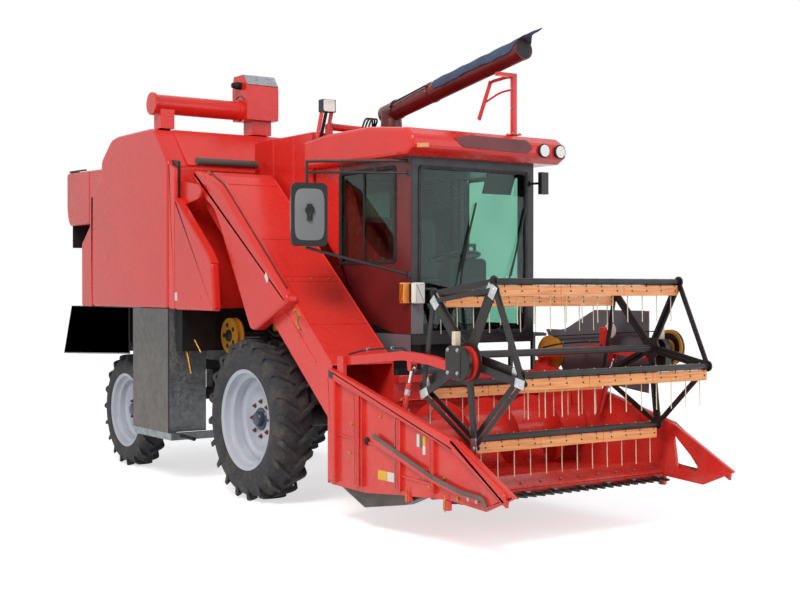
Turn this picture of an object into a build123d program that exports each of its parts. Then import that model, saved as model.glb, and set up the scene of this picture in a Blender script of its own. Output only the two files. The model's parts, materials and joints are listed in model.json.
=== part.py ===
"""Self-propelled grain combine harvester with a cab, a slanted feeder trough and a reel header.

Millimetres. +X is the machine's left, -Y is forwards, +Z is up, and z = 0 is the ground.
Most places along the machine are measured from the front axle and moved by axle_y.
"""

import os

from math import atan2, cos, degrees, radians, sin

from build123d import *

os.makedirs("parts", exist_ok=True)

# ---------------------------------------------------------------- driving sizes
nose_reach = 3210  # front axle to the divider tips
rear_reach = 3680  # front axle to the straw hood's back
wheelbase = 2442
half_width = 1150  # to the outside of the side covers
axle_y = (nose_reach - rear_reach) / 2  # so that y = 0 is the middle of the length
rear_axle_y = axle_y + wheelbase

fit = 0.3  # clearance between pieces that seat on each other
gap = 10  # clearance of pieces that move past each other

sides = (("left", 1), ("right", -1))  # name, sign of x

# wheels: radius to the lug tips, width, x of the middle, rim flange radius
front_tyre_r = 632
front_tyre_w = 300
front_wheel_x = half_width - 252
front_rim_r = 396
front_dish = 150
front_stud_r = 137.5
rear_tyre_r = 522
rear_tyre_w = 226
rear_wheel_x = half_width - 262
rear_rim_r = 342
rear_dish = 110
rear_stud_r = 101.6
lug_h = 28
lug_rake = 0.85  # how far a bar falls back on its way to the shoulder, as a share of that way
shoulder_fall = 14
rim_wall = 8
stud_count = 8
stud_r = 9
stud_out = 26

# thresher body
body_bottom = 1490
body_top = 3060
body_front = 1040
body_rear = rear_reach - 540
cover_wall = 36
cover_x = half_width - cover_wall

# feeder trough: a box that slopes from the thresher down to the header
trough_right = -half_width + 195
trough_left = trough_right + 535
trough_wall = 8
trough_depth = 330
trough_top = (608, 2591)
trough_foot = (-1190, 1103)
pivot_shaft_r = 32

# header
header_half = half_width - 189
plate_wall = 22
sheet = 10
header_back = -1180
header_top = 1096
knife_y = -2590
knife_z = 335
auger_at = (-1640, 620)
auger_r = 250
auger_tube_r = 150
auger_stub_r = 26

# reel
reel_at = (-2570, 1245)
reel_r = 530
bat_count = 5
bat_first = 47
bat_pipe_r = 21
bat_board = (105, 16)
tine_len = 270
tine_pitch = 135
arm_pivot = (-1290, 1150)
arm_x = header_half - 56
jack_x = header_half + 43
jack_r = 140
reel_pulley_r = 126
reel_shaft_r = 24
arm_w = 50
arm_h = 60
reel_lift_base = (-1960, 740)
reel_lift_top = (-2088, 1140)
reel_pin_r = 9
reel_pin_slack = 5  # room round the arms' pins, for the rods' drift

# cab
cab_right = trough_left + 68
cab_left = half_width - 331
cab_front = -1300
cab_back = 40
cab_base_back = -350
cab_floor = 1250
cab_top = 2630
cab_waist = 1860
window_front = -1100
window_back = -330
roof_h = 150
post_w = 62


def turned(point, centre, angle):
    """Turns a (y, z) point about a centre by an angle in degrees."""
    a = radians(angle)
    dy = point[0] - centre[0]
    dz = point[1] - centre[1]
    return (centre[0] + dy * cos(a) - dz * sin(a), centre[1] + dy * sin(a) + dz * cos(a))


def along(start, end, share):
    """The (y, z) point at a share of the way from start to end."""
    return (start[0] + share * (end[0] - start[0]), start[1] + share * (end[1] - start[1]))


def block(x0, x1, y0, y1, z0, z1, mode=Mode.ADD):
    """Adds a box between two corners; y is measured from the front axle."""
    with Locations(((x0 + x1) / 2, axle_y + (y0 + y1) / 2, (z0 + z1) / 2)):
        Box(abs(x1 - x0), abs(y1 - y0), abs(z1 - z0), mode=mode)


def side_plate(points, x0, x1, mode=Mode.ADD):
    """Adds a plate with a (y, z) outline between x0 and x1; y is from the front axle."""
    with BuildSketch(Plane.YZ.offset(x0), mode=Mode.PRIVATE) as outline:
        with BuildLine():
            Polyline(*[(axle_y + y, z) for y, z in points], close=True)
        make_face()
    extrude(outline.sketch, amount=x1 - x0, dir=(1, 0, 0), mode=mode)


def rod_between(start, end, radius, mode=Mode.ADD):
    """Adds a round rod between two (x, y, z) points; y is from the front axle."""
    a = Vector(start[0], axle_y + start[1], start[2])
    b = Vector(end[0], axle_y + end[1], end[2])
    with Locations(Plane(origin=a, z_dir=b - a)):
        Cylinder(radius, (b - a).length, align=(Align.CENTER, Align.CENTER, Align.MIN), mode=mode)


def shaft(x0, x1, centre, radius, mode=Mode.ADD):
    """Adds a round bar along x at a (y, z) centre; y is from the front axle."""
    with Locations(Plane(origin=(min(x0, x1), axle_y + centre[0], centre[1]), z_dir=(1, 0, 0))):
        Cylinder(radius, abs(x1 - x0), align=(Align.CENTER, Align.CENTER, Align.MIN), mode=mode)


def turning(profile, x, y, z, sign):
    """Adds a body of revolution about an x axis from (distance outwards, radius) points."""
    with BuildSketch(Plane(origin=(x, axle_y + y, z)), mode=Mode.PRIVATE) as half:
        with BuildLine():
            Polyline(*[(sign * a, r) for a, r in profile], close=True)
        make_face()
    revolve(half.sketch, axis=Axis((x, axle_y + y, z), (1, 0, 0)))


# ---------------------------------------------------------------- wheels
def tyre_profile(radius, width, bead, sides_round):
    """Closed (x, radius) outline of the carcass below its tread bars; the bead's flats lie on the rim."""
    half = width / 2
    side = radius - bead
    seat = bead / cos(radians(180 / sides_round))
    return [(-0.40 * width, seat), (-half, bead + 0.5 * side), (-0.86 * half, radius - lug_h - shoulder_fall),
            (-0.4 * half, radius - lug_h), (0.4 * half, radius - lug_h),
            (0.86 * half, radius - lug_h - shoulder_fall), (half, bead + 0.5 * side), (0.40 * width, seat)]


def many_sided(outline, x, y, z, sides_round):
    """Adds a ring with flat sides from its closed (x, radius) outline, about an x axis."""
    rings = []
    for dx, r in outline:
        turns = [radians(90 + 180 / sides_round + k * 360 / sides_round) for k in range(sides_round)]
        rings.append([Vector(x + dx, axle_y + y + r * cos(a), z + r * sin(a)) for a in turns])
    facets = []
    for one, other in zip(rings, rings[1:] + rings[:1]):
        for k in range(sides_round):
            following = (k + 1) % sides_round
            facets.append(Face(Wire.make_polygon([one[k], one[following], other[following], other[k]])))
    add(Solid(Shell(facets)))


def lug_bars(x, y, radius, width, sign, pairs, bar_w):
    """Slanted tread bars in a V whose point meets the ground first.

    Bars of the two halves take turns round the tyre, and the tyre stands on the corners of two of them.
    Each is a four-cornered section at the middle of the tread, carried in a straight line to the shoulder.
    """
    half_gap = radians(90 / pairs) - atan2(bar_w / 2, radius)
    tip = radius / cos(half_gap)
    reach = (tip ** 2 - (bar_w / 2) ** 2) ** 0.5
    across = width / 2 - 2
    back = lug_rake * across
    inwards = reach - ((radius - shoulder_fall) ** 2 - back ** 2) ** 0.5
    bars = []
    for hand in (1, -1):
        for i in range(pairs):
            a = radians(270 + hand * 90 / pairs + i * 360 / pairs)
            out_y, out_z = cos(a), sin(a)
            corners = [(r * out_y - w * out_z, r * out_z + w * out_y)
                       for r, w in ((radius - lug_h - 12, -bar_w / 2), (radius - lug_h - 12, bar_w / 2),
                                    (reach, bar_w / 2), (reach, -bar_w / 2))]
            with BuildSketch(Plane.YZ.offset(x + hand * sign * 2), mode=Mode.PRIVATE) as section:
                with BuildLine():
                    Polyline(*[(axle_y + y + u, radius + v) for u, v in corners], close=True)
                make_face()
            run = Vector(hand * sign * (across - 2), back * out_z - inwards * out_y,
                         -back * out_y - inwards * out_z)
            bars.append(extrude(section.sketch, amount=run.length, dir=run.normalized(), mode=Mode.PRIVATE))
    return bars


def rim_profile(flange, width, dish):
    """Barrel with two flanges and a disc set in by dish from the outer flange."""
    half = 0.40 * width + 2 * rim_wall
    seat = flange - 24
    inner = seat - rim_wall
    disc = half - dish
    return [
        (half, flange),
        (half - rim_wall, flange),
        (half - 2 * rim_wall, seat - fit),
        (-half + 2 * rim_wall, seat - fit),
        (-half + rim_wall, flange),
        (-half, flange),
        (-half, inner),
        (disc - rim_wall - 2, inner),
        (disc - rim_wall - 2, 0),
        (disc, 0),
        (disc, 0.55 * inner),
        (disc + 30, 0.66 * inner),
        (disc + 30, inner),
        (half, inner),
    ]


# name, x of the middle, y from the front axle, tyre radius, tyre width, rim flange, dish, stud circle,
# pairs of tread bars and a bar's width
axles = (
    ("front", front_wheel_x, 0, front_tyre_r, front_tyre_w, front_rim_r, front_dish, front_stud_r, 20, 42),
    ("rear", rear_wheel_x, wheelbase, rear_tyre_r, rear_tyre_w, rear_rim_r, rear_dish, rear_stud_r, 19, 34),
)


def disc_out(wheel_x, tyre_w, dish):
    """Distance from the machine's middle to the outer face of a wheel's disc."""
    return wheel_x + 0.40 * tyre_w + 2 * rim_wall - dish


for axle, wheel_x, wheel_y, tyre_r, tyre_w, flange_r, dish, stud_circle, bar_pairs, bar_w in axles:
    for side, sign in sides:
        with BuildPart() as tyre:
            carcass = tyre_profile(tyre_r, tyre_w, flange_r - 24, bar_pairs)
            many_sided(carcass, sign * wheel_x, wheel_y, tyre_r, bar_pairs)
            add(lug_bars(sign * wheel_x, wheel_y, tyre_r, tyre_w, sign, bar_pairs, bar_w))
        tyre.part.label = f"{axle}_tyre_{side}"
        export_step(tyre.part, f"parts/{axle}_tyre_{side}.step")

        with BuildPart() as rim:
            turning(rim_profile(flange_r, tyre_w, dish), sign * wheel_x, wheel_y, tyre_r, sign)
            face_x = disc_out(wheel_x, tyre_w, dish)
            for i in range(stud_count):
                # the left wheels stand a hair round, so that no stud shares its axis with its twin
                clock = i * 360 / stud_count + (0.005 if side == "left" else 0)
                centre = turned((wheel_y + stud_circle, tyre_r), (wheel_y, tyre_r), clock)
                shaft(sign * (face_x - rim_wall / 2), sign * (face_x + stud_out), centre, stud_r)
        rim.part.label = f"{axle}_rim_{side}"
        export_step(rim.part, f"parts/{axle}_rim_{side}.step")

# places where the hubs meet the rims' discs, as distances from the machine's middle
disc_t = rim_wall + 2
front_disc_x = disc_out(front_wheel_x, front_tyre_w, front_dish) - disc_t - fit
rear_disc_x = disc_out(rear_wheel_x, rear_tyre_w, rear_dish) - disc_t - fit

# ---------------------------------------------------------------- axles and chassis
rail_x = half_width - 820
rail_w = 80
rail_bottom = 1000
rail_h = 130
rail_front = -420
rail_rear = rear_reach - 600
axle_tube_r = 85
pulley_at = (842, 1262)
pulley_r = 150
pulley_x = -front_wheel_x + 198
drive_case_x = front_wheel_x - 258
hitch_y = rail_rear + 90
hitch_half = 45
hitch_t = 30
hitch_r = 16

with BuildPart() as chassis:
    for side, sign in sides:
        block(sign * (rail_x - rail_w / 2), sign * (rail_x + rail_w / 2),
              rail_front, rail_rear, rail_bottom, rail_bottom + rail_h)
    for cross_y in (rail_front + 60, 900, 1700, wheelbase, rail_rear - 60):
        block(-rail_x, rail_x, cross_y - 50, cross_y + 50, rail_bottom + 15, rail_bottom + rail_h - 15)
    for side, sign in sides:
        block(sign * (rail_x - 40), sign * (rail_x + 40), -90, 90,
              front_tyre_r + axle_tube_r + fit, rail_bottom)
    for cross_y in (body_front + 60, rail_rear - 60):
        block(-cover_x + 40, cover_x - 40, cross_y - 60, cross_y + 60,
              rail_bottom + rail_h, body_bottom - fit)
    block(-rail_x, rail_x, wheelbase - 60, wheelbase + 60, rail_bottom - 120, rail_bottom + 15)
    with Locations((0, axle_y + (rail_rear + hitch_y) / 2, rail_bottom + hitch_t / 2)):
        Box(2 * hitch_half, hitch_y + hitch_half - rail_rear + 120, hitch_t)
    with Locations((0, axle_y + hitch_y, rail_bottom + hitch_t / 2)):
        Cylinder(hitch_r, 3 * hitch_t, mode=Mode.SUBTRACT)
    shaft(-rail_x - 22, pulley_x + 34 + fit, pulley_at, 26)
    block(-rail_x - 60, -rail_x - 21, pulley_at[0] - 60, pulley_at[0] + 60, rail_bottom + 60, pulley_at[1] + 50)
chassis.part.label = "chassis_frame"
export_step(chassis.part, "parts/chassis_frame.step")

lift_x = front_wheel_x - 383
lift_base = (40, 780)
lift_top = (-462, 1215)
lift_r = 34
lift_rod_r = 19
lift_pin_r = 15
lift_spread = 52
lift_slack = 9  # room round the trough's pins, because the rods' eyes drift off them as the header lifts

with BuildPart() as drive_axle:
    shaft(-drive_case_x - 60, drive_case_x + 60, (0, front_tyre_r), axle_tube_r)
    block(-150, 150, -170, 190, front_tyre_r - 190, front_tyre_r + 170)
    for side, sign in sides:
        shaft(sign * (drive_case_x - 40), sign * (drive_case_x + 90), (0, front_tyre_r), 175)
        shaft(sign * (drive_case_x + 90), sign * front_disc_x, (0, front_tyre_r), 75)
        shaft(sign * (front_disc_x - 30), sign * front_disc_x, (0, front_tyre_r), 130)
    for x in (-lift_x - lift_spread, -lift_x + lift_spread):
        for x0 in (x - 42, x + 26):
            block(x0, x0 + 16, lift_base[0] - 32, lift_base[0] + 32, front_tyre_r, lift_base[1] + 28)
        shaft(x - 36, x + 36, lift_base, lift_pin_r)
drive_axle.part.label = "drive_axle"
export_step(drive_axle.part, "parts/drive_axle.step")

kingpin_x = rear_wheel_x - 188
kingpin_r = 24
beam_h = 110
beam_z = rear_tyre_r + 60
knuckle_h = 90

with BuildPart() as steer_axle:
    block(-kingpin_x - 45, kingpin_x + 45, wheelbase - 60, wheelbase + 60,
          beam_z - beam_h / 2 + 60, beam_z + beam_h / 2 + 60)
    block(-120, 120, wheelbase - 75, wheelbase + 75,
          beam_z + beam_h / 2 + 60, rail_bottom - 120 - fit)
    for side, sign in sides:
        with Locations((sign * kingpin_x, rear_axle_y, beam_z + 60)):
            Cylinder(kingpin_r + 1, 2 * beam_h, mode=Mode.SUBTRACT)
steer_axle.part.label = "steer_axle"
export_step(steer_axle.part, "parts/steer_axle.step")

beam_low = beam_z + 60 - beam_h / 2
beam_high = beam_z + 60 + beam_h / 2
for side, sign in sides:
    with BuildPart() as knuckle:
        with Locations((sign * kingpin_x, rear_axle_y, (beam_low + beam_high) / 2)):
            Cylinder(kingpin_r, beam_h + 2 * knuckle_h)
        for z0, z1 in ((beam_low - 6 - knuckle_h, beam_low - 6), (beam_high + 6, beam_high + 40)):
            with Locations((sign * kingpin_x, rear_axle_y, (z0 + z1) / 2)):
                Cylinder(58, z1 - z0)
        shaft(sign * kingpin_x, sign * rear_disc_x, (wheelbase, rear_tyre_r), 42)
        shaft(sign * (rear_disc_x - 26), sign * rear_disc_x, (wheelbase, rear_tyre_r), 95)
    knuckle.part.label = f"knuckle_{side}"
    export_step(knuckle.part, f"parts/knuckle_{side}.step")

# ---------------------------------------------------------------- thresher body
shelf_y = body_rear - 500
shelf_z = body_top - 340
body_outline = [
    (body_front, body_bottom),
    (body_front, body_top - 380),
    (body_front + 94, body_top - 344),
    (body_front + 390, body_top - 20),
    (body_front + 480, body_top),
    (body_rear - 890, body_top),
    (body_rear - 740, body_top - 20),
    (shelf_y, body_top - 200),
    (shelf_y, shelf_z),
    (body_rear - 272, shelf_z - 180),
    (body_rear - 220, shelf_z - 458),
    (body_rear, shelf_z - 629),
    (body_rear, body_bottom),
]
with BuildPart() as covers:
    for side, sign in sides:
        side_plate(body_outline, sign * cover_x, sign * half_width)
covers.part.label = "side_covers"
export_step(covers.part, "parts/side_covers.step")

# front corner box on the right, round the trough's drive, and its twin on the left
corner_front = 305
corner_inner = half_width - 65
tank_right = trough_left + 40
corner_outline = [
    (corner_front, body_bottom - 8),
    (corner_front + 43, 1859),
    (437, 1961),
    (958, 2371),
    (body_front - 1, 2420),
    (body_front - 1, body_bottom - 8),
]
with BuildPart() as corners:
    for side, sign in sides:
        side_plate(corner_outline, sign * corner_inner, sign * (half_width - 4))
corners.part.label = "corner_covers"
export_step(corners.part, "parts/corner_covers.step")

# straw hood at the back, with its rubber curtain
hood_half = half_width - 70
hood_low = shelf_z - 430
hood_outline = [
    (shelf_y + fit, shelf_z + 2 * fit),
    (shelf_y + fit, shelf_z + 78),
    (rear_reach, shelf_z + 105),
    (rear_reach, hood_low + 140),
    (rear_reach - 60, hood_low),
    (body_rear - 225 + fit, hood_low),
    (body_rear - 272 + 2 * fit, shelf_z - 180 + fit),
]
hood_wall = 12
hood_space = [
    (shelf_y + 6 * hood_wall, shelf_z),
    (shelf_y + 6 * hood_wall, shelf_z + 80 - hood_wall),
    (rear_reach - hood_wall, shelf_z + 105 - hood_wall),
    (rear_reach - hood_wall, hood_low + 140),
    (rear_reach - 60 - hood_wall, hood_low - 10),
    (body_rear - 225 + hood_wall, hood_low - 10),
    (body_rear - 272 + hood_wall, shelf_z - 180),
]
with BuildPart() as hood:
    side_plate(hood_outline, -hood_half, hood_half)
    side_plate(hood_space, -hood_half + hood_wall, hood_half - hood_wall, mode=Mode.SUBTRACT)
hood.part.label = "straw_hood"
export_step(hood.part, "parts/straw_hood.step")

flap_t = 8
deflector_low = body_bottom - 480
deflector_y = wheelbase - 412
with BuildPart() as flaps:
    block(-hood_half + 20, hood_half - 20, rear_reach - 75, rear_reach - 75 + flap_t, hood_low - 220, hood_low - fit)
    for side, sign in sides:
        side_plate([(rear_reach - 220, body_bottom - fit), (rear_reach - 4, deflector_low),
                    (deflector_y, deflector_low + 60), (deflector_y, body_bottom - fit)],
                   sign * (half_width - 20), sign * (half_width - 20 - flap_t))
    side_plate([(rear_reach - 220, body_bottom - fit), (rear_reach - 220 + flap_t, body_bottom - fit),
                (rear_reach - 4, deflector_low), (rear_reach - 4 - flap_t, deflector_low)],
               -half_width + 20 + flap_t, half_width - 20 - flap_t)
    block(-half_width + 20 + flap_t, half_width - 20 - flap_t,
          body_rear + 12, rear_reach - 215, body_bottom - fit - flap_t, body_bottom - fit)
flaps.part.label = "rubber_flaps"
export_step(flaps.part, "parts/rubber_flaps.step")

# cabinet between the wheels on the right, with its step bar
cabinet_front = 1185
cabinet_rear = 1790
cabinet_low = 430
with BuildPart() as cabinets:
    for side, sign in sides:
        block(sign * (half_width - 20), sign * 780, cabinet_front, cabinet_rear, cabinet_low, body_bottom - fit)
        block(sign * half_width, sign * (half_width - 60), cabinet_front - 25, cabinet_rear + 60,
              cabinet_low - 60, cabinet_low)
        block(sign * half_width, sign * 720, cabinet_front - 85, cabinet_front - 25, cabinet_low - 60, cabinet_low)
cabinets.part.label = "side_cabinets"
export_step(cabinets.part, "parts/side_cabinets.step")

panel_t = 8
with BuildPart() as panels:
    for side, sign in sides:
        block(sign * half_width, sign * (half_width - panel_t), cabinet_front - 20, 1900,
              cabinet_low + fit, body_bottom - fit)
        block(sign * (half_width - panel_t), sign * (half_width - 20 + fit), cabinet_front, cabinet_rear,
              cabinet_low + 40, body_bottom - 60)
panels.part.label = "cabinet_panels"
export_step(panels.part, "parts/cabinet_panels.step")

# drive pulley behind the right front wheel
with BuildPart() as pulley:
    turning([(-34, 0), (-34, pulley_r), (-20, pulley_r), (-6, pulley_r - 22), (6, pulley_r - 22),
             (20, pulley_r), (34, pulley_r), (34, 0)], pulley_x, pulley_at[0], pulley_at[1], -1)
pulley.part.label = "drive_pulley"
export_step(pulley.part, "parts/drive_pulley.step")

# ---------------------------------------------------------------- feeder trough
slope = degrees(atan2(trough_top[1] - trough_foot[1], trough_top[0] - trough_foot[0]))
down = (sin(radians(slope)), -cos(radians(slope)))
trough_pivot = (trough_top[0] + down[0] * trough_depth / 2, trough_top[1] + down[1] * trough_depth / 2)
trough_low_top = (trough_top[0] + down[0] * trough_depth, trough_top[1] + down[1] * trough_depth)
trough_low_foot = (trough_foot[0] + down[0] * trough_depth, trough_foot[1] + down[1] * trough_depth)


def trough_section(inset, mouth):
    """Outline of the trough, drawn in by inset, with its mouth moved along the slope."""
    d = (cos(radians(slope)), sin(radians(slope)))
    r = trough_depth / 2 - inset
    nose = [turned((trough_pivot[0] + r, trough_pivot[1]), trough_pivot, slope + a)
            for a in (90, 60, 30, 0, -30, -60, -90)]
    foot_top = (trough_foot[0] + down[0] * inset, trough_foot[1] + down[1] * inset)
    low_y = header_back + mouth
    low_top_z = foot_top[1] + (low_y - foot_top[0]) * d[1] / d[0]
    low = (trough_low_foot[0] - down[0] * inset, trough_low_foot[1] - down[1] * inset)
    low_z = low[1] + (low_y - low[0]) * d[1] / d[0]
    return nose + [(low_y, low_z), (low_y, low_top_z)]


def trough_low_z(y):
    """Height of the trough's underside at a place y."""
    run = trough_low_top[0] - trough_low_foot[0]
    return trough_low_foot[1] + (y - trough_low_foot[0]) * (trough_low_top[1] - trough_low_foot[1]) / run


with BuildPart() as trough:
    side_plate(trough_section(0, sheet + fit), trough_right, trough_left)
    side_plate(trough_section(trough_wall, -60), trough_right + trough_wall, trough_left - trough_wall,
               mode=Mode.SUBTRACT)
    shaft(trough_right - 10, trough_left + 10, trough_pivot, pivot_shaft_r + fit, mode=Mode.SUBTRACT)
    # lugs and pins for the lift cylinders under the trough
    for x in (-lift_x - lift_spread, -lift_x + lift_spread):
        for x0 in (x - 38, x + 26):
            side_plate([(lift_top[0] - 75, trough_low_z(lift_top[0] - 75) + 2), (lift_top[0] - 26, lift_top[1] - 26),
                        (lift_top[0] + 26, lift_top[1] - 26), (lift_top[0] + 55, trough_low_z(lift_top[0] + 55) + 2)],
                       x0, x0 + 12)
        shaft(x - 32, x + 32, lift_top, lift_pin_r)
trough.part.label = "feeder_trough"
export_step(trough.part, "parts/feeder_trough.step")

# the body carries the trough's pivot shaft in two bearing plates
bearing_t = 22
with BuildPart() as body:
    side_plate(body_outline, -cover_x + fit, cover_x - fit)
    shaft(-corner_inner + fit, tank_right - fit, trough_pivot, pivot_shaft_r)
    for x in (-corner_inner + fit, tank_right - fit - bearing_t):
        side_plate([(body_front, trough_pivot[1] - 110), (body_front, trough_pivot[1] + 110),
                    (trough_pivot[0], trough_pivot[1] + 60), (trough_pivot[0] - 60, trough_pivot[1]),
                    (trough_pivot[0], trough_pivot[1] - 60)], x, x + bearing_t)
body.part.label = "thresher_body"
export_step(body.part, "parts/thresher_body.step")

# belt guard along the trough's right side
guard_t = 90
guard_x = trough_right - fit
guard_outline = [(900, 2660), (670, 2620), (400, 2500), (-620, 1650), (-660, 1600), (-645, 1545), (-180, 1340),
                 (-100, 1340), (510, 2300), (700, 2400), (880, 2560)]
with BuildPart() as guard:
    side_plate(guard_outline, guard_x, guard_x - guard_t)
    shaft(guard_x + 5, guard_x - guard_t - 5, trough_pivot, pivot_shaft_r + fit, mode=Mode.SUBTRACT)
guard.part.label = "belt_guard"
export_step(guard.part, "parts/belt_guard.step")

# ---------------------------------------------------------------- header
beam_top = header_top - 75
pan_low = 342
pan_bend = -1960
pan_line = [(header_back, beam_top), (header_back, 440), (header_back - 120, pan_low + sheet),
            (pan_bend, pan_low + sheet), (knife_y + 160, knife_z + 90), (knife_y + 20, knife_z + 20)]
inner_half = header_half - plate_wall
mouth_low = trough_section(0, sheet + fit)[-2][1]
mouth_high = trough_section(0, sheet + fit)[-1][1]
with BuildPart() as header_pan:
    under = [(y + (sheet if i < 2 else 0), z - (0 if i < 1 else sheet)) for i, (y, z) in enumerate(pan_line)]
    side_plate(pan_line + under[::-1], -inner_half + fit, inner_half - fit)
    block(trough_right + trough_wall, trough_left - trough_wall, header_back - 20, header_back + 40,
          mouth_low + trough_wall, mouth_high - trough_wall, mode=Mode.SUBTRACT)
    block(trough_left, inner_half - fit, header_back - 60, header_back, beam_top - 50, beam_top)
    block(-inner_half + fit, inner_half - fit, header_back - 55, header_back + sheet, pan_low - 52, pan_low + 50)
    block(-inner_half + fit, inner_half - fit, knife_y + 20, knife_y + 60, knife_z - 4 + fit, knife_z + 22)
header_pan.part.label = "header_pan"
export_step(header_pan.part, "parts/header_pan.step")

plate_knee = (knife_y - 37, header_top - 374)
plate_line = [(header_back + sheet, header_top), plate_knee, (-nose_reach, 433), (-2935, 317), (-2565, 338),
              (-2028, 300), (-1620, 262), (header_back + sheet, 268)]
# y of a rib's front, z of its foot and its width along the plate
ribs = ((header_back - 60, 300, 60), (-1560, 300, 34), (-2060, 330, 34), (-2420, 360, 30))
rib_out = 22
crop_bar = ((-1760, 646), (-2420, 470), (-2900, 390))
window_line = [(-2660, 640), (-2900, 520), (-2880, 400), (-2700, 400)]
with BuildPart() as end_plates:
    for side, sign in sides:
        side_plate(plate_line, sign * inner_half, sign * header_half)
        if side == "left":
            side_plate(window_line, sign * (inner_half - 5), sign * (header_half + 5), mode=Mode.SUBTRACT)
        for (y0, z0), (y1, z1) in (((header_back, header_top), plate_knee), (plate_knee, (60 - nose_reach, 440))):
            side_plate([(y0, z0), (y1, z1), (y1, z1 - 70), (y0, z0 - 70)],
                       sign * header_half, sign * (header_half + 22))
        for rib_y, rib_low, rib_w in ribs:
            share = (header_back - rib_y) / (header_back - plate_knee[0])
            rib_high = header_top - 40 - share * (header_top - plate_knee[1])
            side_plate([(rib_y, rib_low), (rib_y, rib_high), (rib_y + rib_w, rib_high), (rib_y + rib_w, rib_low)],
                       sign * (header_half - 1), sign * (header_half + rib_out))
        for (y0, z0), (y1, z1) in zip(crop_bar, crop_bar[1:]):
            side_plate([(y0, z0), (y1, z1), (y1, z1 - 34), (y0, z0 - 34)],
                       sign * (header_half + rib_out - 1), sign * (header_half + rib_out + 8))
        block(sign * (arm_x + 28), sign * header_half, arm_pivot[0] - 40, arm_pivot[0] + 40,
              1000, arm_pivot[1] + 35)
        block(sign * (arm_x + 22), sign * (header_half - 1), reel_lift_base[0] - 26, reel_lift_base[0] + 26,
              reel_lift_base[1] - 26, reel_lift_base[1] + 26)
        shaft(sign * (arm_x - 22), sign * (arm_x + 24), reel_lift_base, reel_pin_r)
        shaft(sign * (inner_half - 5), sign * (header_half + 5), auger_at, auger_stub_r + fit, mode=Mode.SUBTRACT)
        shaft(sign * (arm_x - 30), sign * (arm_x + 40), arm_pivot, 16)
    shaft(header_half - 1, jack_x - 15 - fit, arm_pivot, 22)
end_plates.part.label = "header_sides"
export_step(end_plates.part, "parts/header_sides.step")

with BuildPart() as skids:
    for skid_x in (-inner_half + 45, -320, 320, inner_half - 45):
        side_plate([(header_back + 4, pan_low - 52 - fit), (header_back - 380, pan_low - 192),
                    (pan_bend - 80, pan_low - 110), (pan_bend - 340, pan_low - 12),
                    (pan_bend - 340, pan_low + 43), (pan_bend, pan_low - fit), (header_back - 120, pan_low - fit),
                    (header_back - 62, pan_low - 52 - fit)],
                   skid_x - 40, skid_x + 40)
skids.part.label = "skids"
export_step(skids.part, "parts/skids.step")

finger_count = 24
finger_pitch = 2 * (inner_half - 63) / (finger_count - 1)
knife_t = 6
with BuildPart() as finger_bar:
    block(-inner_half + fit, inner_half - fit, knife_y, knife_y + 60, knife_z - 22, knife_z - 4)
    for i in range(finger_count):
        x = (i - (finger_count - 1) / 2) * finger_pitch
        block(x - 11, x + 11, knife_y - 85, knife_y, knife_z - 20, knife_z - 5)
finger_bar.part.label = "finger_bar"
export_step(finger_bar.part, "parts/finger_bar.step")

knife_stroke = 38
with BuildPart() as knife:
    knife_half = inner_half - knife_stroke - 12
    teeth = [(-knife_half, knife_y + 14), (-knife_half, knife_y - 4)]
    for i in range(finger_count):
        x = (i - (finger_count - 1) / 2) * 2 * knife_half / finger_count
        teeth += [(x - 9, knife_y - 60), (x + 9, knife_y - 60), (x + knife_half / finger_count, knife_y - 4)]
    teeth.append((knife_half, knife_y + 14))
    with BuildSketch(Plane.XY.offset(knife_z - 4 + fit)) as sections:
        with BuildLine():
            Polyline(*[(x, axle_y + y) for x, y in teeth], close=True)
        make_face()
    extrude(amount=knife_t)
knife.part.label = "knife"
export_step(knife.part, "parts/knife.step")

flight_pitch = 420
flight_t = 8
flight_step = 30  # degrees of the flight that one flat stretch covers
finger_from = trough_right + 125
finger_gap = 65
finger_row = 6


def flight(x0, x1, start):
    """A screw blade from x0 to x1: x grows by one pitch for each turn from +y towards +z."""
    count = int(abs(x1 - x0) / flight_pitch * 360 / flight_step)
    rings = []
    for k in range(count + 1):
        a = radians(start + k * flight_step)
        x = x0 + k * flight_step / 360 * flight_pitch
        rings.append([Vector(x + dx, axle_y + auger_at[0] + r * cos(a), auger_at[1] + r * sin(a))
                      for dx, r in ((0, auger_tube_r - 12), (0, auger_r), (flight_t, auger_r),
                                    (flight_t, auger_tube_r - 12))])
    facets = [Face(Wire.make_polygon(rings[0])), Face(Wire.make_polygon(rings[-1]))]
    for one, other in zip(rings, rings[1:]):
        for k in range(4):
            following = (k + 1) % 4
            facets.append(Face(Wire.make_polygon([one[k], one[following], other[following]])))
            facets.append(Face(Wire.make_polygon([one[k], other[following], other[k]])))
    add(Solid(Shell(facets)))


with BuildPart() as auger:
    shaft(-inner_half + gap, inner_half - gap, auger_at, auger_tube_r)
    shaft(-header_half - 12, header_half + 12, auger_at, auger_stub_r)
    flight(trough_left - 20, inner_half - gap - flight_t, 0)
    for i in range(finger_row):
        x = finger_from + i * finger_gap
        for turn in (0, 180):
            tip = turned((auger_at[0] + auger_r, auger_at[1]), auger_at, turn + i * 60)
            rod_between((x, *auger_at), (x, *tip), 8)
auger.part.label = "header_auger"
export_step(auger.part, "parts/header_auger.step")

# ---------------------------------------------------------------- reel
spider_x = header_half - 143
spider_t = 10
crank_t = 8
ecc_offset = (-55, -50)
ecc_at = (reel_at[0] + ecc_offset[0], reel_at[1] + ecc_offset[1])
ecc_x = header_half - 111
ecc_ring_r = 110
bat_places = [turned((reel_at[0] + reel_r, reel_at[1]), reel_at, bat_first + i * 360 / bat_count)
              for i in range(bat_count)]
pin_r = 9

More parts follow.
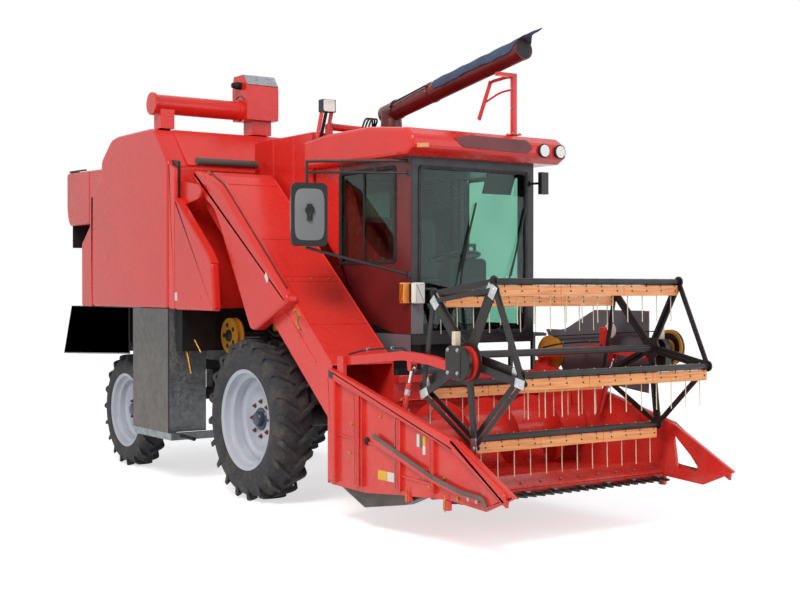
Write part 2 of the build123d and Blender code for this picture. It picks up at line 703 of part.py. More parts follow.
def groove(radius):
    """Profile of a belt pulley: two flanges and the groove between them."""
    return [(-15, 0), (-15, radius), (-8, radius), (-6, radius - 14), (6, radius - 14), (8, radius),
            (15, radius), (15, 0)]


def spider(x0, x1, centre, tips, hole_r, bar_w):
    """A flat star with a bar from the hub to each tip and a brace from tip to tip."""
    shaft(x0, x1, centre, 70)
    for i, tip in enumerate(tips):
        after = tips[(i + 1) % len(tips)]
        for a, b, w in ((centre, tip, bar_w), (tip, after, bar_w * 0.6)):
            length = ((b[0] - a[0]) ** 2 + (b[1] - a[1]) ** 2) ** 0.5
            ny = -(b[1] - a[1]) / length * w / 2
            nz = (b[0] - a[0]) / length * w / 2
            side_plate([(a[0] + ny, a[1] + nz), (b[0] + ny, b[1] + nz),
                        (b[0] - ny, b[1] - nz), (a[0] - ny, a[1] - nz)], x0, x1)
        shaft(x0, x1, tip, hole_r + 16)
    for tip in tips:
        shaft(x0 - 5, x1 + 5, tip, hole_r, mode=Mode.SUBTRACT)


with BuildPart() as reel:
    shaft(-spider_x, spider_x, reel_at, reel_shaft_r)
    for side, sign in sides:
        x0, x1 = sorted((sign * spider_x, sign * (spider_x - spider_t)))
        spider(x0, x1, reel_at, bat_places, bat_pipe_r + fit, 60)
    shaft(-arm_x - arm_w / 2 - 6, -spider_x, reel_at, reel_shaft_r)
    shaft(spider_x, jack_x + 15, reel_at, reel_shaft_r)
    turning(groove(reel_pulley_r), jack_x, reel_at[0], reel_at[1], 1)
reel.part.label = "reel_frame"
export_step(reel.part, "parts/reel_frame.step")

for i, (bat_y, bat_z) in enumerate(bat_places):
    with BuildPart() as bat:
        shaft(-spider_x - 8 - crank_t, spider_x + 8, (bat_y, bat_z), bat_pipe_r)
        block(-spider_x + 20, spider_x - 20, bat_y - 8, bat_y + 8, bat_z - 95, bat_z)
        tine_count = int((2 * spider_x - 100) / tine_pitch)
        for k in range(tine_count + 1):
            x = (k - tine_count / 2) * tine_pitch
            rod_between((x, bat_y + 10, bat_z), (x, bat_y + 10, bat_z - tine_len), 4)
        end_y, end_z = bat_y + ecc_offset[0], bat_z + ecc_offset[1]
        length = (ecc_offset[0] ** 2 + ecc_offset[1] ** 2) ** 0.5
        ny, nz = -ecc_offset[1] / length * 14, ecc_offset[0] / length * 14
        side_plate([(bat_y + ny, bat_z + nz), (end_y + ny, end_z + nz), (end_y - ny, end_z - nz),
                    (bat_y - ny, bat_z - nz)], -spider_x - 8 - crank_t, -spider_x - 8)
        shaft(-ecc_x - spider_t - 4, -spider_x - 8, (end_y, end_z), pin_r)
    bat.part.label = f"reel_bat_{i + 1}"
    export_step(bat.part, f"parts/reel_bat_{i + 1}.step")

with BuildPart() as eccentric:
    tips = [(y + ecc_offset[0], z + ecc_offset[1]) for y, z in bat_places]
    spider(-ecc_x - spider_t, -ecc_x, ecc_at, tips, pin_r + fit, 50)
    shaft(-ecc_x - spider_t, -ecc_x, ecc_at, ecc_ring_r + 28)
    shaft(-ecc_x - spider_t - 5, -ecc_x + 5, ecc_at, ecc_ring_r, mode=Mode.SUBTRACT)
eccentric.part.label = "reel_eccentric"
export_step(eccentric.part, "parts/reel_eccentric.step")

arm_line = [(arm_pivot[0], arm_pivot[1] + 30), (-2010, 1250), (-2310, 1232), (-2640, 1185)]
with BuildPart() as arms:
    for side, sign in sides:
        side_plate(arm_line + [(y, z - arm_h) for y, z in arm_line[::-1]],
                   sign * (arm_x - arm_w / 2), sign * (arm_x + arm_w / 2))
        shaft(sign * (arm_x - arm_w / 2), sign * (arm_x + arm_w / 2), arm_pivot, 32)
        shaft(sign * (arm_x - 60), sign * (arm_x + 60), arm_pivot, 16 + fit, mode=Mode.SUBTRACT)
        block(sign * (arm_x - arm_w / 2), sign * (arm_x + arm_w / 2), reel_at[0] - 40, reel_at[0] + 40,
              1150, reel_at[1] + 40)
        # lugs and pin for the lift cylinder's rod
        for x in (arm_x - arm_w / 2, arm_x + arm_w / 2 - 8):
            side_plate([(reel_lift_top[0] - 26, 1195), (reel_lift_top[0] - 16, reel_lift_top[1] - 18),
                        (reel_lift_top[0] + 16, reel_lift_top[1] - 18), (reel_lift_top[0] + 26, 1195)],
                       sign * x, sign * (x + 8))
        shaft(sign * (arm_x - arm_w / 2 + 4), sign * (arm_x + arm_w / 2 - 4), reel_lift_top, reel_pin_r)
    # disc that the eccentric runs on, bearings for the reel's shaft, and the shield of its belt on the left
    shaft(-arm_x + arm_w / 2 - 1, -ecc_x + 1, ecc_at, ecc_ring_r - fit)
    shaft(-arm_x - 30, -ecc_x + 5, reel_at, reel_shaft_r + fit, mode=Mode.SUBTRACT)
    shaft(arm_x - 30, arm_x + 30, reel_at, reel_shaft_r + fit, mode=Mode.SUBTRACT)
    side_plate([(-1200, 1340), (-1420, 1340), (-1760, 1500), (-2330, 1500), (-2330, 900), (-1420, 1000)],
               jack_x + 32, jack_x + 38)
    for y, z in ((-1700, 1200), (-2200, 1215)):
        shaft(arm_x + 20, jack_x + 34, (y, z), 14)
arms.part.label = "reel_arms"
export_step(arms.part, "parts/reel_arms.step")

# header lift cylinders, from the drive axle to the trough's underside
with BuildPart() as lift_barrels:
    for x in (-lift_x - lift_spread, -lift_x + lift_spread):
        shaft(x - 24, x + 24, lift_base, 30)
        rod_between((x, *lift_base), (x, *along(lift_base, lift_top, 0.77)), lift_r - 12)
        rod_between((x, *along(lift_base, lift_top, 0.10)), (x, *along(lift_base, lift_top, 0.74)), lift_r)
        shaft(x - 44, x + 44, lift_base, lift_pin_r + fit, mode=Mode.SUBTRACT)
        rod_between((x, *along(lift_base, lift_top, 0.15)), (x, *along(lift_base, lift_top, 0.81)),
                    lift_rod_r + 1, mode=Mode.SUBTRACT)
lift_barrels.part.label = "lift_barrels"
export_step(lift_barrels.part, "parts/lift_barrels.step")

with BuildPart() as lift_rods:
    for x in (-lift_x - lift_spread, -lift_x + lift_spread):
        rod_between((x, *along(lift_base, lift_top, 0.32)), (x, *along(lift_base, lift_top, 0.97)), lift_rod_r)
        shaft(x - 20, x + 20, lift_top, lift_pin_r + lift_slack + 9)
        shaft(x - 24, x + 24, lift_top, lift_pin_r + lift_slack, mode=Mode.SUBTRACT)
lift_rods.part.label = "lift_rods"
export_step(lift_rods.part, "parts/lift_rods.step")

# reel lift cylinders, one at each end of the header
with BuildPart() as reel_barrels:
    for side, sign in sides:
        rod_between((sign * arm_x, *reel_lift_base),
                    (sign * arm_x, *along(reel_lift_base, reel_lift_top, 0.74)), 20)
        shaft(sign * (arm_x - 16), sign * (arm_x + 16), reel_lift_base, 20)
        shaft(sign * (arm_x - 24), sign * (arm_x + 24), reel_lift_base, reel_pin_r + fit, mode=Mode.SUBTRACT)
        rod_between((sign * arm_x, *along(reel_lift_base, reel_lift_top, 0.16)),
                    (sign * arm_x, *along(reel_lift_base, reel_lift_top, 0.81)), 12, mode=Mode.SUBTRACT)
reel_barrels.part.label = "reel_barrels"
export_step(reel_barrels.part, "parts/reel_barrels.step")

with BuildPart() as reel_rods:
    for side, sign in sides:
        rod_between((sign * arm_x, *along(reel_lift_base, reel_lift_top, 0.24)),
                    (sign * arm_x, *reel_lift_top), 11)
        shaft(sign * (arm_x - 12), sign * (arm_x + 12), reel_lift_top, reel_pin_r + reel_pin_slack + 6)
        shaft(sign * (arm_x - 15), sign * (arm_x + 15), reel_lift_top, reel_pin_r + reel_pin_slack,
              mode=Mode.SUBTRACT)
reel_rods.part.label = "reel_rods"
export_step(reel_rods.part, "parts/reel_rods.step")

# jack pulley of the reel's belt, on the left arm's pivot
with BuildPart() as jack:
    turning(groove(jack_r), jack_x, arm_pivot[0], arm_pivot[1], 1)
jack.part.label = "jack_pulley"
export_step(jack.part, "parts/jack_pulley.step")

# ---------------------------------------------------------------- cab
cab_wall = 40
door_gap = 6
door_frame = 45
door_t = 28
door_front = -1180
door_back = cab_base_back - 20
door_low = cab_floor + 70
hinge_x = cab_left + door_gap + door_t + 4
hinge_y = door_back + 13
hinge_z = (1440, 1760)
hinge_r = 9
hinge_pin_r = 4
with BuildPart() as cab:
    side_plate([(cab_front, cab_floor), (cab_base_back, cab_floor), (cab_base_back, cab_waist),
                (cab_back, cab_waist + 340), (cab_back, cab_top), (cab_front, cab_top)], cab_right, cab_left)
    side_plate([(cab_front + cab_wall, cab_floor + 50), (cab_base_back - cab_wall, cab_floor + 50),
                (cab_base_back - cab_wall, cab_waist + 15), (cab_back - cab_wall, cab_waist + 355),
                (cab_back - cab_wall, cab_top - 60), (cab_front + cab_wall, cab_top - 60)],
               cab_right + cab_wall, cab_left - cab_wall, mode=Mode.SUBTRACT)
    # windscreen, side window, door and rear window
    block(cab_right + post_w, cab_left - post_w, cab_front - 10, cab_front + cab_wall + 10,
          1325, cab_top - 60, mode=Mode.SUBTRACT)
    block(cab_right - 10, cab_right + cab_wall + 10, window_front, window_back,
          cab_waist, cab_top - 60, mode=Mode.SUBTRACT)
    block(cab_left - cab_wall - 10, cab_left + 10, door_front + 30, cab_base_back - post_w,
          cab_floor + 50, cab_top - 60, mode=Mode.SUBTRACT)
    block(cab_right + 2 * post_w, cab_left - 2 * post_w, cab_back - cab_wall - 10, cab_back + 10,
          cab_waist + 400, cab_top - 80, mode=Mode.SUBTRACT)
    for x in (-rail_x, rail_x):
        block(x - 40, x + 40, rail_front + 10, -352, rail_bottom + rail_h + fit, cab_floor)
    for z in hinge_z:
        for z0, z1 in ((z - 50, z - 20 - fit), (z + 20 + fit, z + 50)):
            block(cab_left - 1, hinge_x, hinge_y - 6, hinge_y + 6, z0, z1)
            with Locations((hinge_x, axle_y + hinge_y, (z0 + z1) / 2)):
                Cylinder(hinge_r, z1 - z0)
        with Locations((hinge_x, axle_y + hinge_y, z)):
            Cylinder(hinge_pin_r, 90)
cab.part.label = "cab_frame"
export_step(cab.part, "parts/cab_frame.step")

glass_t = 6
with BuildPart() as glass:
    block(cab_right + post_w + fit, cab_left - post_w - fit, cab_front + 8, cab_front + 8 + glass_t,
          1325 + fit, cab_top - 60 - fit)
    block(cab_right + 8, cab_right + 8 + glass_t, window_front + fit, window_back - fit,
          cab_waist + fit, cab_top - 60 - fit)
    block(cab_right + 2 * post_w + fit, cab_left - 2 * post_w - fit, cab_back - 14, cab_back - 8,
          cab_waist + 400 + fit, cab_top - 80 - fit)
glass.part.label = "cab_glass"
export_step(glass.part, "parts/cab_glass.step")

with BuildPart() as door:
    block(cab_left + door_gap, cab_left + door_gap + door_t, door_front, door_back,
          door_low, cab_top - 20)
    block(cab_left, cab_left + 60, door_front + door_frame, door_back - door_frame,
          door_low + door_frame, cab_top - 20 - door_frame, mode=Mode.SUBTRACT)
    for z in hinge_z:
        block(cab_left + door_gap + door_t - 1, hinge_x + 1, door_back - 40, hinge_y, z - 20, z + 20)
        with Locations((hinge_x, axle_y + hinge_y, z)):
            Cylinder(hinge_r, 40)
            Cylinder(hinge_pin_r + fit, 60, mode=Mode.SUBTRACT)
door.part.label = "cab_door"
export_step(door.part, "parts/cab_door.step")

with BuildPart() as door_pane:
    block(cab_left + door_gap + 10, cab_left + door_gap + 16, door_front + door_frame + fit,
          door_back - door_frame - fit, door_low + door_frame + fit, cab_top - 20 - door_frame - fit)
door_pane.part.label = "door_glass"
export_step(door_pane.part, "parts/door_glass.step")

roof_front = -1480
roof_brow = (-1380, cab_top + 200)
roof_crown = (-900, cab_top + 250)
roof_fall = (-300, cab_top + 250)
roof_tail = (50, cab_top + 220)
roof_line = [(-1400, cab_top + fit), (roof_front, cab_top + 45), (roof_front, cab_top + 135), roof_brow,
             roof_crown, roof_fall, roof_tail, (roof_tail[0], cab_top + fit)]
with BuildPart() as roof:
    side_plate(roof_line, cab_right - 118, cab_left + 181)
roof.part.label = "cab_roof"
export_step(roof.part, "parts/cab_roof.step")

seat_x = 230
with BuildPart() as seat:
    block(seat_x - 150, seat_x + 150, -860, -560, cab_floor + 50 + fit, cab_floor + 360)
    block(seat_x - 240, seat_x + 240, -960, -500, cab_floor + 360, cab_floor + 480)
    block(seat_x - 230, seat_x + 230, -520, -420, cab_floor + 480, cab_floor + 1000)
seat.part.label = "seat"
export_step(seat.part, "parts/seat.step")

with BuildPart() as column:
    rod_between((seat_x, -1150, cab_floor + 56.5), (seat_x, -1057, cab_floor + 656), 40)
    with Locations(Plane(origin=(seat_x, axle_y - 1056, cab_floor + 660), z_dir=(0, 90, 590))):
        Torus(190, 13)
        Cylinder(190, 8)
column.part.label = "steering_column"
export_step(column.part, "parts/steering_column.step")

# ---------------------------------------------------------------- grain tank, engine, fuel tank
tank_front = 60
tank_top = 2940
with BuildPart() as tank:
    side_plate([(tank_front, tank_top), (body_front - fit, tank_top), (body_front - fit, 1600), (560, 1600),
                (tank_front, 2150)], tank_right, corner_inner - fit)
tank.part.label = "grain_tank"
export_step(tank.part, "parts/grain_tank.step")

with BuildPart() as engine:
    block(-rail_x - 20, rail_x + 20, 380, 1000, rail_bottom + rail_h + fit, 1590)
engine.part.label = "engine"
export_step(engine.part, "parts/engine.step")

# walkway and ladder on the left
walk_z = 1280
with BuildPart() as walkway:
    block(cab_left + fit, half_width - 20, -1100, -160, walk_z, walk_z + 25)
    for y in (-985, -700):
        block(half_width - 80, half_width - 50, y - 15, y + 15, 430, walk_z)
    for z in (440, 680, 920):
        block(half_width - 200, half_width - 30, -985, -700, z, z + 30)
    for x in (cab_left + 40, half_width - 45):
        rod_between((x, -190, walk_z + 20), (x, -190, 2050), 15)
    rod_between((cab_left + 40, -190, 2035), (half_width - 45, -190, 2035), 15)
walkway.part.label = "walkway"
export_step(walkway.part, "parts/walkway.step")

# ---------------------------------------------------------------- mirrors and corner lamp
def mirror_frame(points, radius):
    """Joins tubes end to end through (x, y, z) points, with a ball at each bend."""
    for a, b in zip(points, points[1:]):
        rod_between(a, b, radius)
    for x, y, z in points[1:-1]:
        with Locations((x, axle_y + y, z)):
            Sphere(radius)


mirror_root = (cab_right - 8, cab_front + 20)
mirror_end = (-half_width + 145, cab_front + 395)
with BuildPart() as mirrors:
    mirror_frame([(mirror_root[0], mirror_root[1], 2600), (*mirror_end, 2590), (*mirror_end, 1960),
                  (mirror_root[0], mirror_root[1], 1765)], 11)
    rod_between((mirror_root[0], mirror_root[1], 2510), (*mirror_end, 2510), 9)
    for z in (1765, 2510, 2600):
        block(cab_right - 26, cab_right - fit, cab_front + 2, cab_front + 38, z - 18, z + 18)
    with BuildSketch(Plane(origin=(mirror_end[0] + 5, axle_y + mirror_end[1] - 14, 2200),
                           x_dir=(0.95, -0.3, 0), z_dir=(-0.3, -0.95, 0)), mode=Mode.PRIVATE) as head:
        RectangleRounded(270, 460, 40)
    extrude(head.sketch, amount=40)
    block(cab_left - 45, cab_left - 15, cab_front - 12, cab_front - fit, 2460, 2500)
    rod_between((cab_left - 30, cab_front - 6, 2480), (cab_left - 10, cab_front - 120, 2480), 9)
    block(cab_left - 55, cab_left + 15, cab_front - 160, cab_front - 118, 2390, 2560)
mirrors.part.label = "mirrors"
export_step(mirrors.part, "parts/mirrors.step")

# ---------------------------------------------------------------- elevator tube and unloading auger
elevator_at = (body_front + 460, body_top + 215)
elevator_r = 85
with BuildPart() as elevator:
    shaft(-half_width, -150, elevator_at, elevator_r)
    shaft(-half_width, -half_width + 26, elevator_at, elevator_r + 14)
    shaft(-320, -280, elevator_at, elevator_r + 14)
    side_plate([(elevator_at[0] - 140, body_top + 130), (elevator_at[0] - 140, body_top + 440),
                (elevator_at[0] - 60, body_top + 540), (elevator_at[0] + 120, body_top + 540),
                (elevator_at[0] + 140, body_top + 440), (elevator_at[0] + 140, body_top + 130)], -280, 40)
    block(-200, 0, elevator_at[0] - 80, elevator_at[0] + 80, body_top + fit, body_top + 130)
    block(-half_width + 60, -half_width + 190, elevator_at[0] - 70, elevator_at[0] + 70, body_top + fit, elevator_at[1])
elevator.part.label = "elevator_tube"
export_step(elevator.part, "parts/elevator_tube.step")

unload_x = 500
unload_y = 200
unload_z = 3180
unload_rise = 9.2
unload_r = 80
unload_len = 1780
dy = cos(radians(unload_rise))
dz = sin(radians(unload_rise))
post_x = 600
post_y = -1320
post_top = 3318
with BuildPart() as supports:
    with Locations((unload_x, axle_y + unload_y, (tank_top + fit + 3020) / 2)):
        Cylinder(95, 3020 - tank_top - fit)
    roof_rise = (roof_crown[1] - roof_brow[1]) / (roof_crown[0] - roof_brow[0])
    feet = [(y, roof_brow[1] + (y - roof_brow[0]) * roof_rise + fit) for y in (post_y - 18, post_y + 18)]
    side_plate(feet + [(post_y + 18, post_top), (post_y - 18, post_top)], post_x - 18, post_x + 18)
    block(unload_x - 70, post_x, post_y - 18, post_y + 18, post_top - 28, post_top)
supports.part.label = "unloader_supports"
export_step(supports.part, "parts/unloader_supports.step")

with BuildPart() as unloader:
    with Locations((unload_x, axle_y + unload_y, (3020 + fit + unload_z) / 2)):
        Cylinder(90, unload_z - 3020 - fit)
    rod_between((unload_x, unload_y + 90, unload_z - 15),
                (unload_x, unload_y - unload_len * dy, unload_z + unload_len * dz), unload_r)
unloader.part.label = "unloader_tube"
export_step(unloader.part, "parts/unloader_tube.step")

sleeve_from = unload_len - 1080
sleeve_to = unload_len + 230
sleeve_t = 14
with BuildPart() as spout:
    rod_between((unload_x, unload_y - sleeve_from * dy, unload_z + sleeve_from * dz),
                (unload_x, unload_y - sleeve_to * dy, unload_z + sleeve_to * dz), unload_r + sleeve_t)
    rod_between((unload_x, unload_y - (sleeve_from - 10) * dy, unload_z + (sleeve_from - 10) * dz),
                (unload_x, unload_y - (sleeve_to + 10) * dy, unload_z + (sleeve_to + 10) * dz), unload_r + fit,
                mode=Mode.SUBTRACT)
spout.part.label = "canvas_spout"
export_step(spout.part, "parts/canvas_spout.step")

with BuildPart() as lamps:
    for x in (cab_left - 59, cab_left + 101):
        with Locations(Plane(origin=(x, axle_y + roof_front - fit, cab_top + 90), z_dir=(0, -1, 0))):
            Cylinder(42, 24, align=(Align.CENTER, Align.CENTER, Align.MIN))
    block(cab_right - 60, cab_right - fit, cab_front + 10, cab_front + 60, 1560, 1700)
    block(cab_right - 20, cab_right + 70, cab_front - 70, cab_front - fit, 1560, 1700)
    rod_between((-350, -20, cab_top + 238), (-350, -110, cab_top + 455), 14)
    roof_drop = (roof_tail[1] - roof_fall[1]) / (roof_tail[0] - roof_fall[0])
    sole = [(y, roof_fall[1] + (y - roof_fall[0]) * roof_drop + fit) for y in (-60, 40)]
    side_plate(sole + [(40, cab_top + 245), (-60, cab_top + 245)], -400, -300)
    block(-410, -290, -160, -90, cab_top + 450, cab_top + 550)
lamps.part.label = "lamps"
export_step(lamps.part, "parts/lamps.step")
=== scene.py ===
"""Looks of the combine harvester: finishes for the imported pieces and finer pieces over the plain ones.

Metres. +X is the machine's left, -Y is forwards and z = 0 is the ground. Places along the machine are
measured from the front axle, as in the part's source, and moved by axle_y.
"""

import json
from math import atan2, cos, pi, radians, sin

import bpy
import numpy as np
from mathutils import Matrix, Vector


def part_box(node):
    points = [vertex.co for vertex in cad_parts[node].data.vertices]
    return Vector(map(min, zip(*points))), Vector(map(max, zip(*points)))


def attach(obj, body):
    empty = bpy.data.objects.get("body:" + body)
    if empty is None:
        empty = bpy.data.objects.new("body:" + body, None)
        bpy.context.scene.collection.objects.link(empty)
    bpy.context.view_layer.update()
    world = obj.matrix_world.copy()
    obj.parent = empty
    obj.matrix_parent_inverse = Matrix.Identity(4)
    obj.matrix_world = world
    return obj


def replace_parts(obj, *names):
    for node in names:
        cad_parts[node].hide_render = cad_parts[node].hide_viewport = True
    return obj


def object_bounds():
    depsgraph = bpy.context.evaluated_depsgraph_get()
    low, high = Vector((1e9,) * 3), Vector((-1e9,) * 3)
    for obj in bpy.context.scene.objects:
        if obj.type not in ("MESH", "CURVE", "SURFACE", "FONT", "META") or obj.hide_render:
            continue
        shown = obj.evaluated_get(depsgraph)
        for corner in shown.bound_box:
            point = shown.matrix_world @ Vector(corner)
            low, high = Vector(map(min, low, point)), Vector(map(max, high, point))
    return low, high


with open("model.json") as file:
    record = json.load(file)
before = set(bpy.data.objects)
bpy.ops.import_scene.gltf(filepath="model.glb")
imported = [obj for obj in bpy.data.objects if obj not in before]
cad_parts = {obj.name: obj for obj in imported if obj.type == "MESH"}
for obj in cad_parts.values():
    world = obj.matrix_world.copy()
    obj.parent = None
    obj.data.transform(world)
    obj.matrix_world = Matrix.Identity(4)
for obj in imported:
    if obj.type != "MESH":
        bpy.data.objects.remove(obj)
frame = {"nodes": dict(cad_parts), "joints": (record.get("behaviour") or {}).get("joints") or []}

cad_box = [list(corner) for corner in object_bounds()]
nodes = frame["nodes"]


def middle(node, axis):
    """Middle of a node's box along one axis."""
    low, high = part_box(node)
    return (low[axis] + high[axis]) / 2


# ---------------------------------------------------------------- sizes read from the frame
axle_y = middle("front_rim_left", 1)
front_r = middle("front_rim_left", 2)
rear_r = middle("rear_rim_left", 2)
half_width = cad_box[1][0]
body_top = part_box("side_covers")[1][2]
joints = {j["name"]: j for j in frame["joints"]}


def joint_at(name):
    """(y from the front axle, z) of a joint's axis."""
    place = joints[name]["pos_m"]
    return place[1] - axle_y, place[2]


# ---------------------------------------------------------------- materials
def linear(hex_colour):
    """Turns an sRGB hex colour into linear RGBA."""
    parts = [int(hex_colour[i:i + 2], 16) / 255 for i in (1, 3, 5)]
    return [p / 12.92 if p <= 0.04045 else ((p + 0.055) / 1.055) ** 2.4 for p in parts] + [1.0]


def add_node(tree, kind, settings=None, links=None):
    """Adds a node, sets its properties and input values, and links its inputs from other sockets."""
    made = tree.nodes.new(kind)
    for key, value in (settings or {}).items():
        if isinstance(key, str) and hasattr(made, key):
            setattr(made, key, value)
        else:
            made.inputs[key].default_value = value
    for key, socket in (links or {}).items():
        tree.links.new(socket, made.inputs[key])
    return made


def blank_material(name, **values):
    """A material with its tree, its shader and Object coordinates. The values go on the shader's own sockets,
    named with an underscore for each space."""
    material = bpy.data.materials.new(name)
    material.use_nodes = True
    tree = material.node_tree
    shader = tree.nodes["Principled BSDF"]
    for key, value in values.items():
        shader.inputs[key.replace("_", " ")].default_value = value
    return material, tree, shader, add_node(tree, "ShaderNodeTexCoord").outputs["Object"]


def two_tone(tree, place, size_mm, detail, deep, colour, roughness=0.5):
    """A slow change from a deep tone to a lighter one in blotches of about size_mm."""
    return ramp(tree, noise(tree, place, size_mm, detail, roughness), [(0.3, deep), (0.7, colour)])


def noise(tree, place, size_mm, detail=3.0, roughness=0.5):
    """Noise whose blotches are about size_mm across."""
    return add_node(tree, "ShaderNodeTexNoise", {"Scale": 1000 / size_mm, "Detail": detail, "Roughness": roughness},
        {"Vector": place}).outputs["Fac"]


def ramp(tree, value, stops):
    """Colour ramp through (position, hex colour) stops."""
    made = add_node(tree, "ShaderNodeValToRGB", links={"Fac": value})
    line = made.color_ramp.elements
    while len(line) < len(stops):
        line.new(0.5)
    for element, (position, colour) in zip(line, stops):
        element.position = position
        element.color = linear(colour)
    return made.outputs["Color"]


def spread(tree, value, low, high, to_low=0.0, to_high=1.0):
    """Maps a value's range low..high to to_low..to_high."""
    return add_node(tree, "ShaderNodeMapRange", {"From Min": low, "From Max": high, "To Min": to_low,
        "To Max": to_high}, {"Value": value}).outputs["Result"]


def blended(tree, share, first, second):
    """Mixes two colours by a share."""
    made = add_node(tree, "ShaderNodeMix", {"data_type": "RGBA"})
    for key, value in ((0, share), (6, first), (7, second)):
        if isinstance(value, bpy.types.NodeSocket):
            tree.links.new(value, made.inputs[key])
        else:
            made.inputs[key].default_value = value
    return made.outputs[2]


def bumped(tree, shader, height, strength, distance_mm):
    """Gives the shader a bump from a height value."""
    made = add_node(tree, "ShaderNodeBump", {"Strength": strength, "Distance": distance_mm / 1000},
        {"Height": height})
    tree.links.new(made.outputs["Normal"], shader.inputs["Normal"])


def product(tree, first, second):
    """First times second, which may be a socket or a number."""
    if isinstance(second, bpy.types.NodeSocket):
        return add_node(tree, "ShaderNodeMath", {"operation": "MULTIPLY"}, {0: first, 1: second}).outputs[0]
    return add_node(tree, "ShaderNodeMath", {"operation": "MULTIPLY", 1: second}, {0: first}).outputs[0]


def dusty(tree, place, colour, dust, low_z, high_z, amount):
    """Lays dust over a colour, thicker towards the ground between high_z and low_z."""
    height = add_node(tree, "ShaderNodeSeparateXYZ", links={0: place}).outputs["Z"]
    low = spread(tree, height, low_z, high_z, 1.0, 0.0)
    patches = spread(tree, noise(tree, place, 180, 6, 0.65), 0.38, 0.68)
    return blended(tree, product(tree, product(tree, low, patches), amount), colour, linear(dust))


def enamel(name, colour, deep, roughness, dust=0.25):
    """Sprayed gloss enamel on sheet steel: an even colour, a slow shift of tone over large panels,
    a faint orange-peel bump, and dust that gathers near the ground."""
    material, tree, shader, place = blank_material(name, Coat_Weight=0.15, Specular_IOR_Level=0.35,
        Coat_Roughness=0.12)
    tone = two_tone(tree, place, 420, 2, deep, colour)
    tree.links.new(dusty(tree, place, tone, "#B49A86", 0.1, 1.3, dust * 0.5), shader.inputs["Base Color"])
    fine = noise(tree, place, 60, 4)
    tree.links.new(spread(tree, fine, 0.3, 0.7, roughness * 0.8, roughness * 1.3), shader.inputs["Roughness"])
    bumped(tree, shader, noise(tree, place, 8, 2), 0.03, 0.5)
    return material


def worn_metal(name, colour, deep, roughness, metallic=1.0, grain_mm=6, strength=0.15):
    """Bare or coated steel: two tones in fine speckle, uneven gloss and a fine grain."""
    material, tree, shader, place = blank_material(name, Metallic=metallic)
    tree.links.new(two_tone(tree, place, grain_mm * 7, 5, deep, colour, 0.6), shader.inputs["Base Color"])
    fine = noise(tree, place, grain_mm * 3, 4)
    tree.links.new(spread(tree, fine, 0.3, 0.7, roughness * 0.75, roughness * 1.3), shader.inputs["Roughness"])
    bumped(tree, shader, noise(tree, place, grain_mm, 3), strength, 0.5)
    return material


def tread_rubber():
    """Agricultural tyre rubber: matt black with dry tan soil in the hollows and on the shoulders."""
    material, tree, shader, place = blank_material("tread rubber", Roughness=0.78)
    black = two_tone(tree, place, 25, 5, "#1E1E22", "#34343A")
    soil = spread(tree, noise(tree, place, 120, 7, 0.7), 0.5, 0.72, 0.0, 0.45)
    tree.links.new(blended(tree, soil, black, linear("#6F665B")), shader.inputs["Base Color"])
    bumped(tree, shader, noise(tree, place, 5, 5, 0.7), 0.35, 1.0)
    return material


def tinted_glass():
    """Green tinted safety glass: a clear pane whose body absorbs red, with a polished face."""
    material, tree, shader, place = blank_material("green tinted glass", Roughness=0.02, IOR=1.3,
        Transmission_Weight=1.0)
    tree.links.new(two_tone(tree, place, 500, 1, "#9CCDBB", "#AFD9CB"), shader.inputs["Base Color"])
    return material


def lens(name, colour, deep):
    """Ribbed lamp lens of clear or coloured acrylic over a bright reflector."""
    material, tree, shader, place = blank_material(name, Roughness=0.08, Coat_Weight=1.0)
    bands = add_node(tree, "ShaderNodeTexWave", {"Scale": 60.0, "Distortion": 0.4},
        {"Vector": place}).outputs["Fac"]
    tree.links.new(ramp(tree, bands, [(0.2, deep), (0.8, colour)]), shader.inputs["Base Color"])
    bumped(tree, shader, bands, 0.4, 1.0)
    return material


def woven(name, colour, deep, thread_mm, roughness=0.85):
    """Woven sheet: crossing threads drawn a few times coarser than real so that they show, and
    a slow change of tone from handling."""
    material, tree, shader, place = blank_material(name, Roughness=roughness)
    threads = [add_node(tree, "ShaderNodeTexWave", {"Scale": 160 / thread_mm, "bands_direction": way},
        {"Vector": place}).outputs["Fac"] for way in ("X", "DIAGONAL")]
    weave = product(tree, *threads)
    tone = two_tone(tree, place, 150, 4, deep, colour)
    tree.links.new(blended(tree, spread(tree, weave, 0, 1, 0.0, 0.25), tone, linear(deep)),
        shader.inputs["Base Color"])
    bumped(tree, shader, weave, 0.3, 0.8)
    return material


def varnished_board():
    """Varnished softwood boards: orange-tan with growth lines along the board."""
    material, tree, shader, place = blank_material("varnished board", Roughness=0.42, Coat_Weight=0.25)
    stretched = add_node(tree, "ShaderNodeMapping", {"Scale": (0.6, 14.0, 14.0)}, {"Vector": place}).outputs[0]
    rings = add_node(tree, "ShaderNodeTexNoise", {"Scale": 6.0, "Detail": 6.0},
        {"Vector": stretched}).outputs["Fac"]
    tree.links.new(ramp(tree, rings, [(0.3, "#C9713A"), (0.5, "#EE9A55"), (0.72, "#F6B06C")]),
        shader.inputs["Base Color"])
    bumped(tree, shader, rings, 0.15, 0.6)
    return material


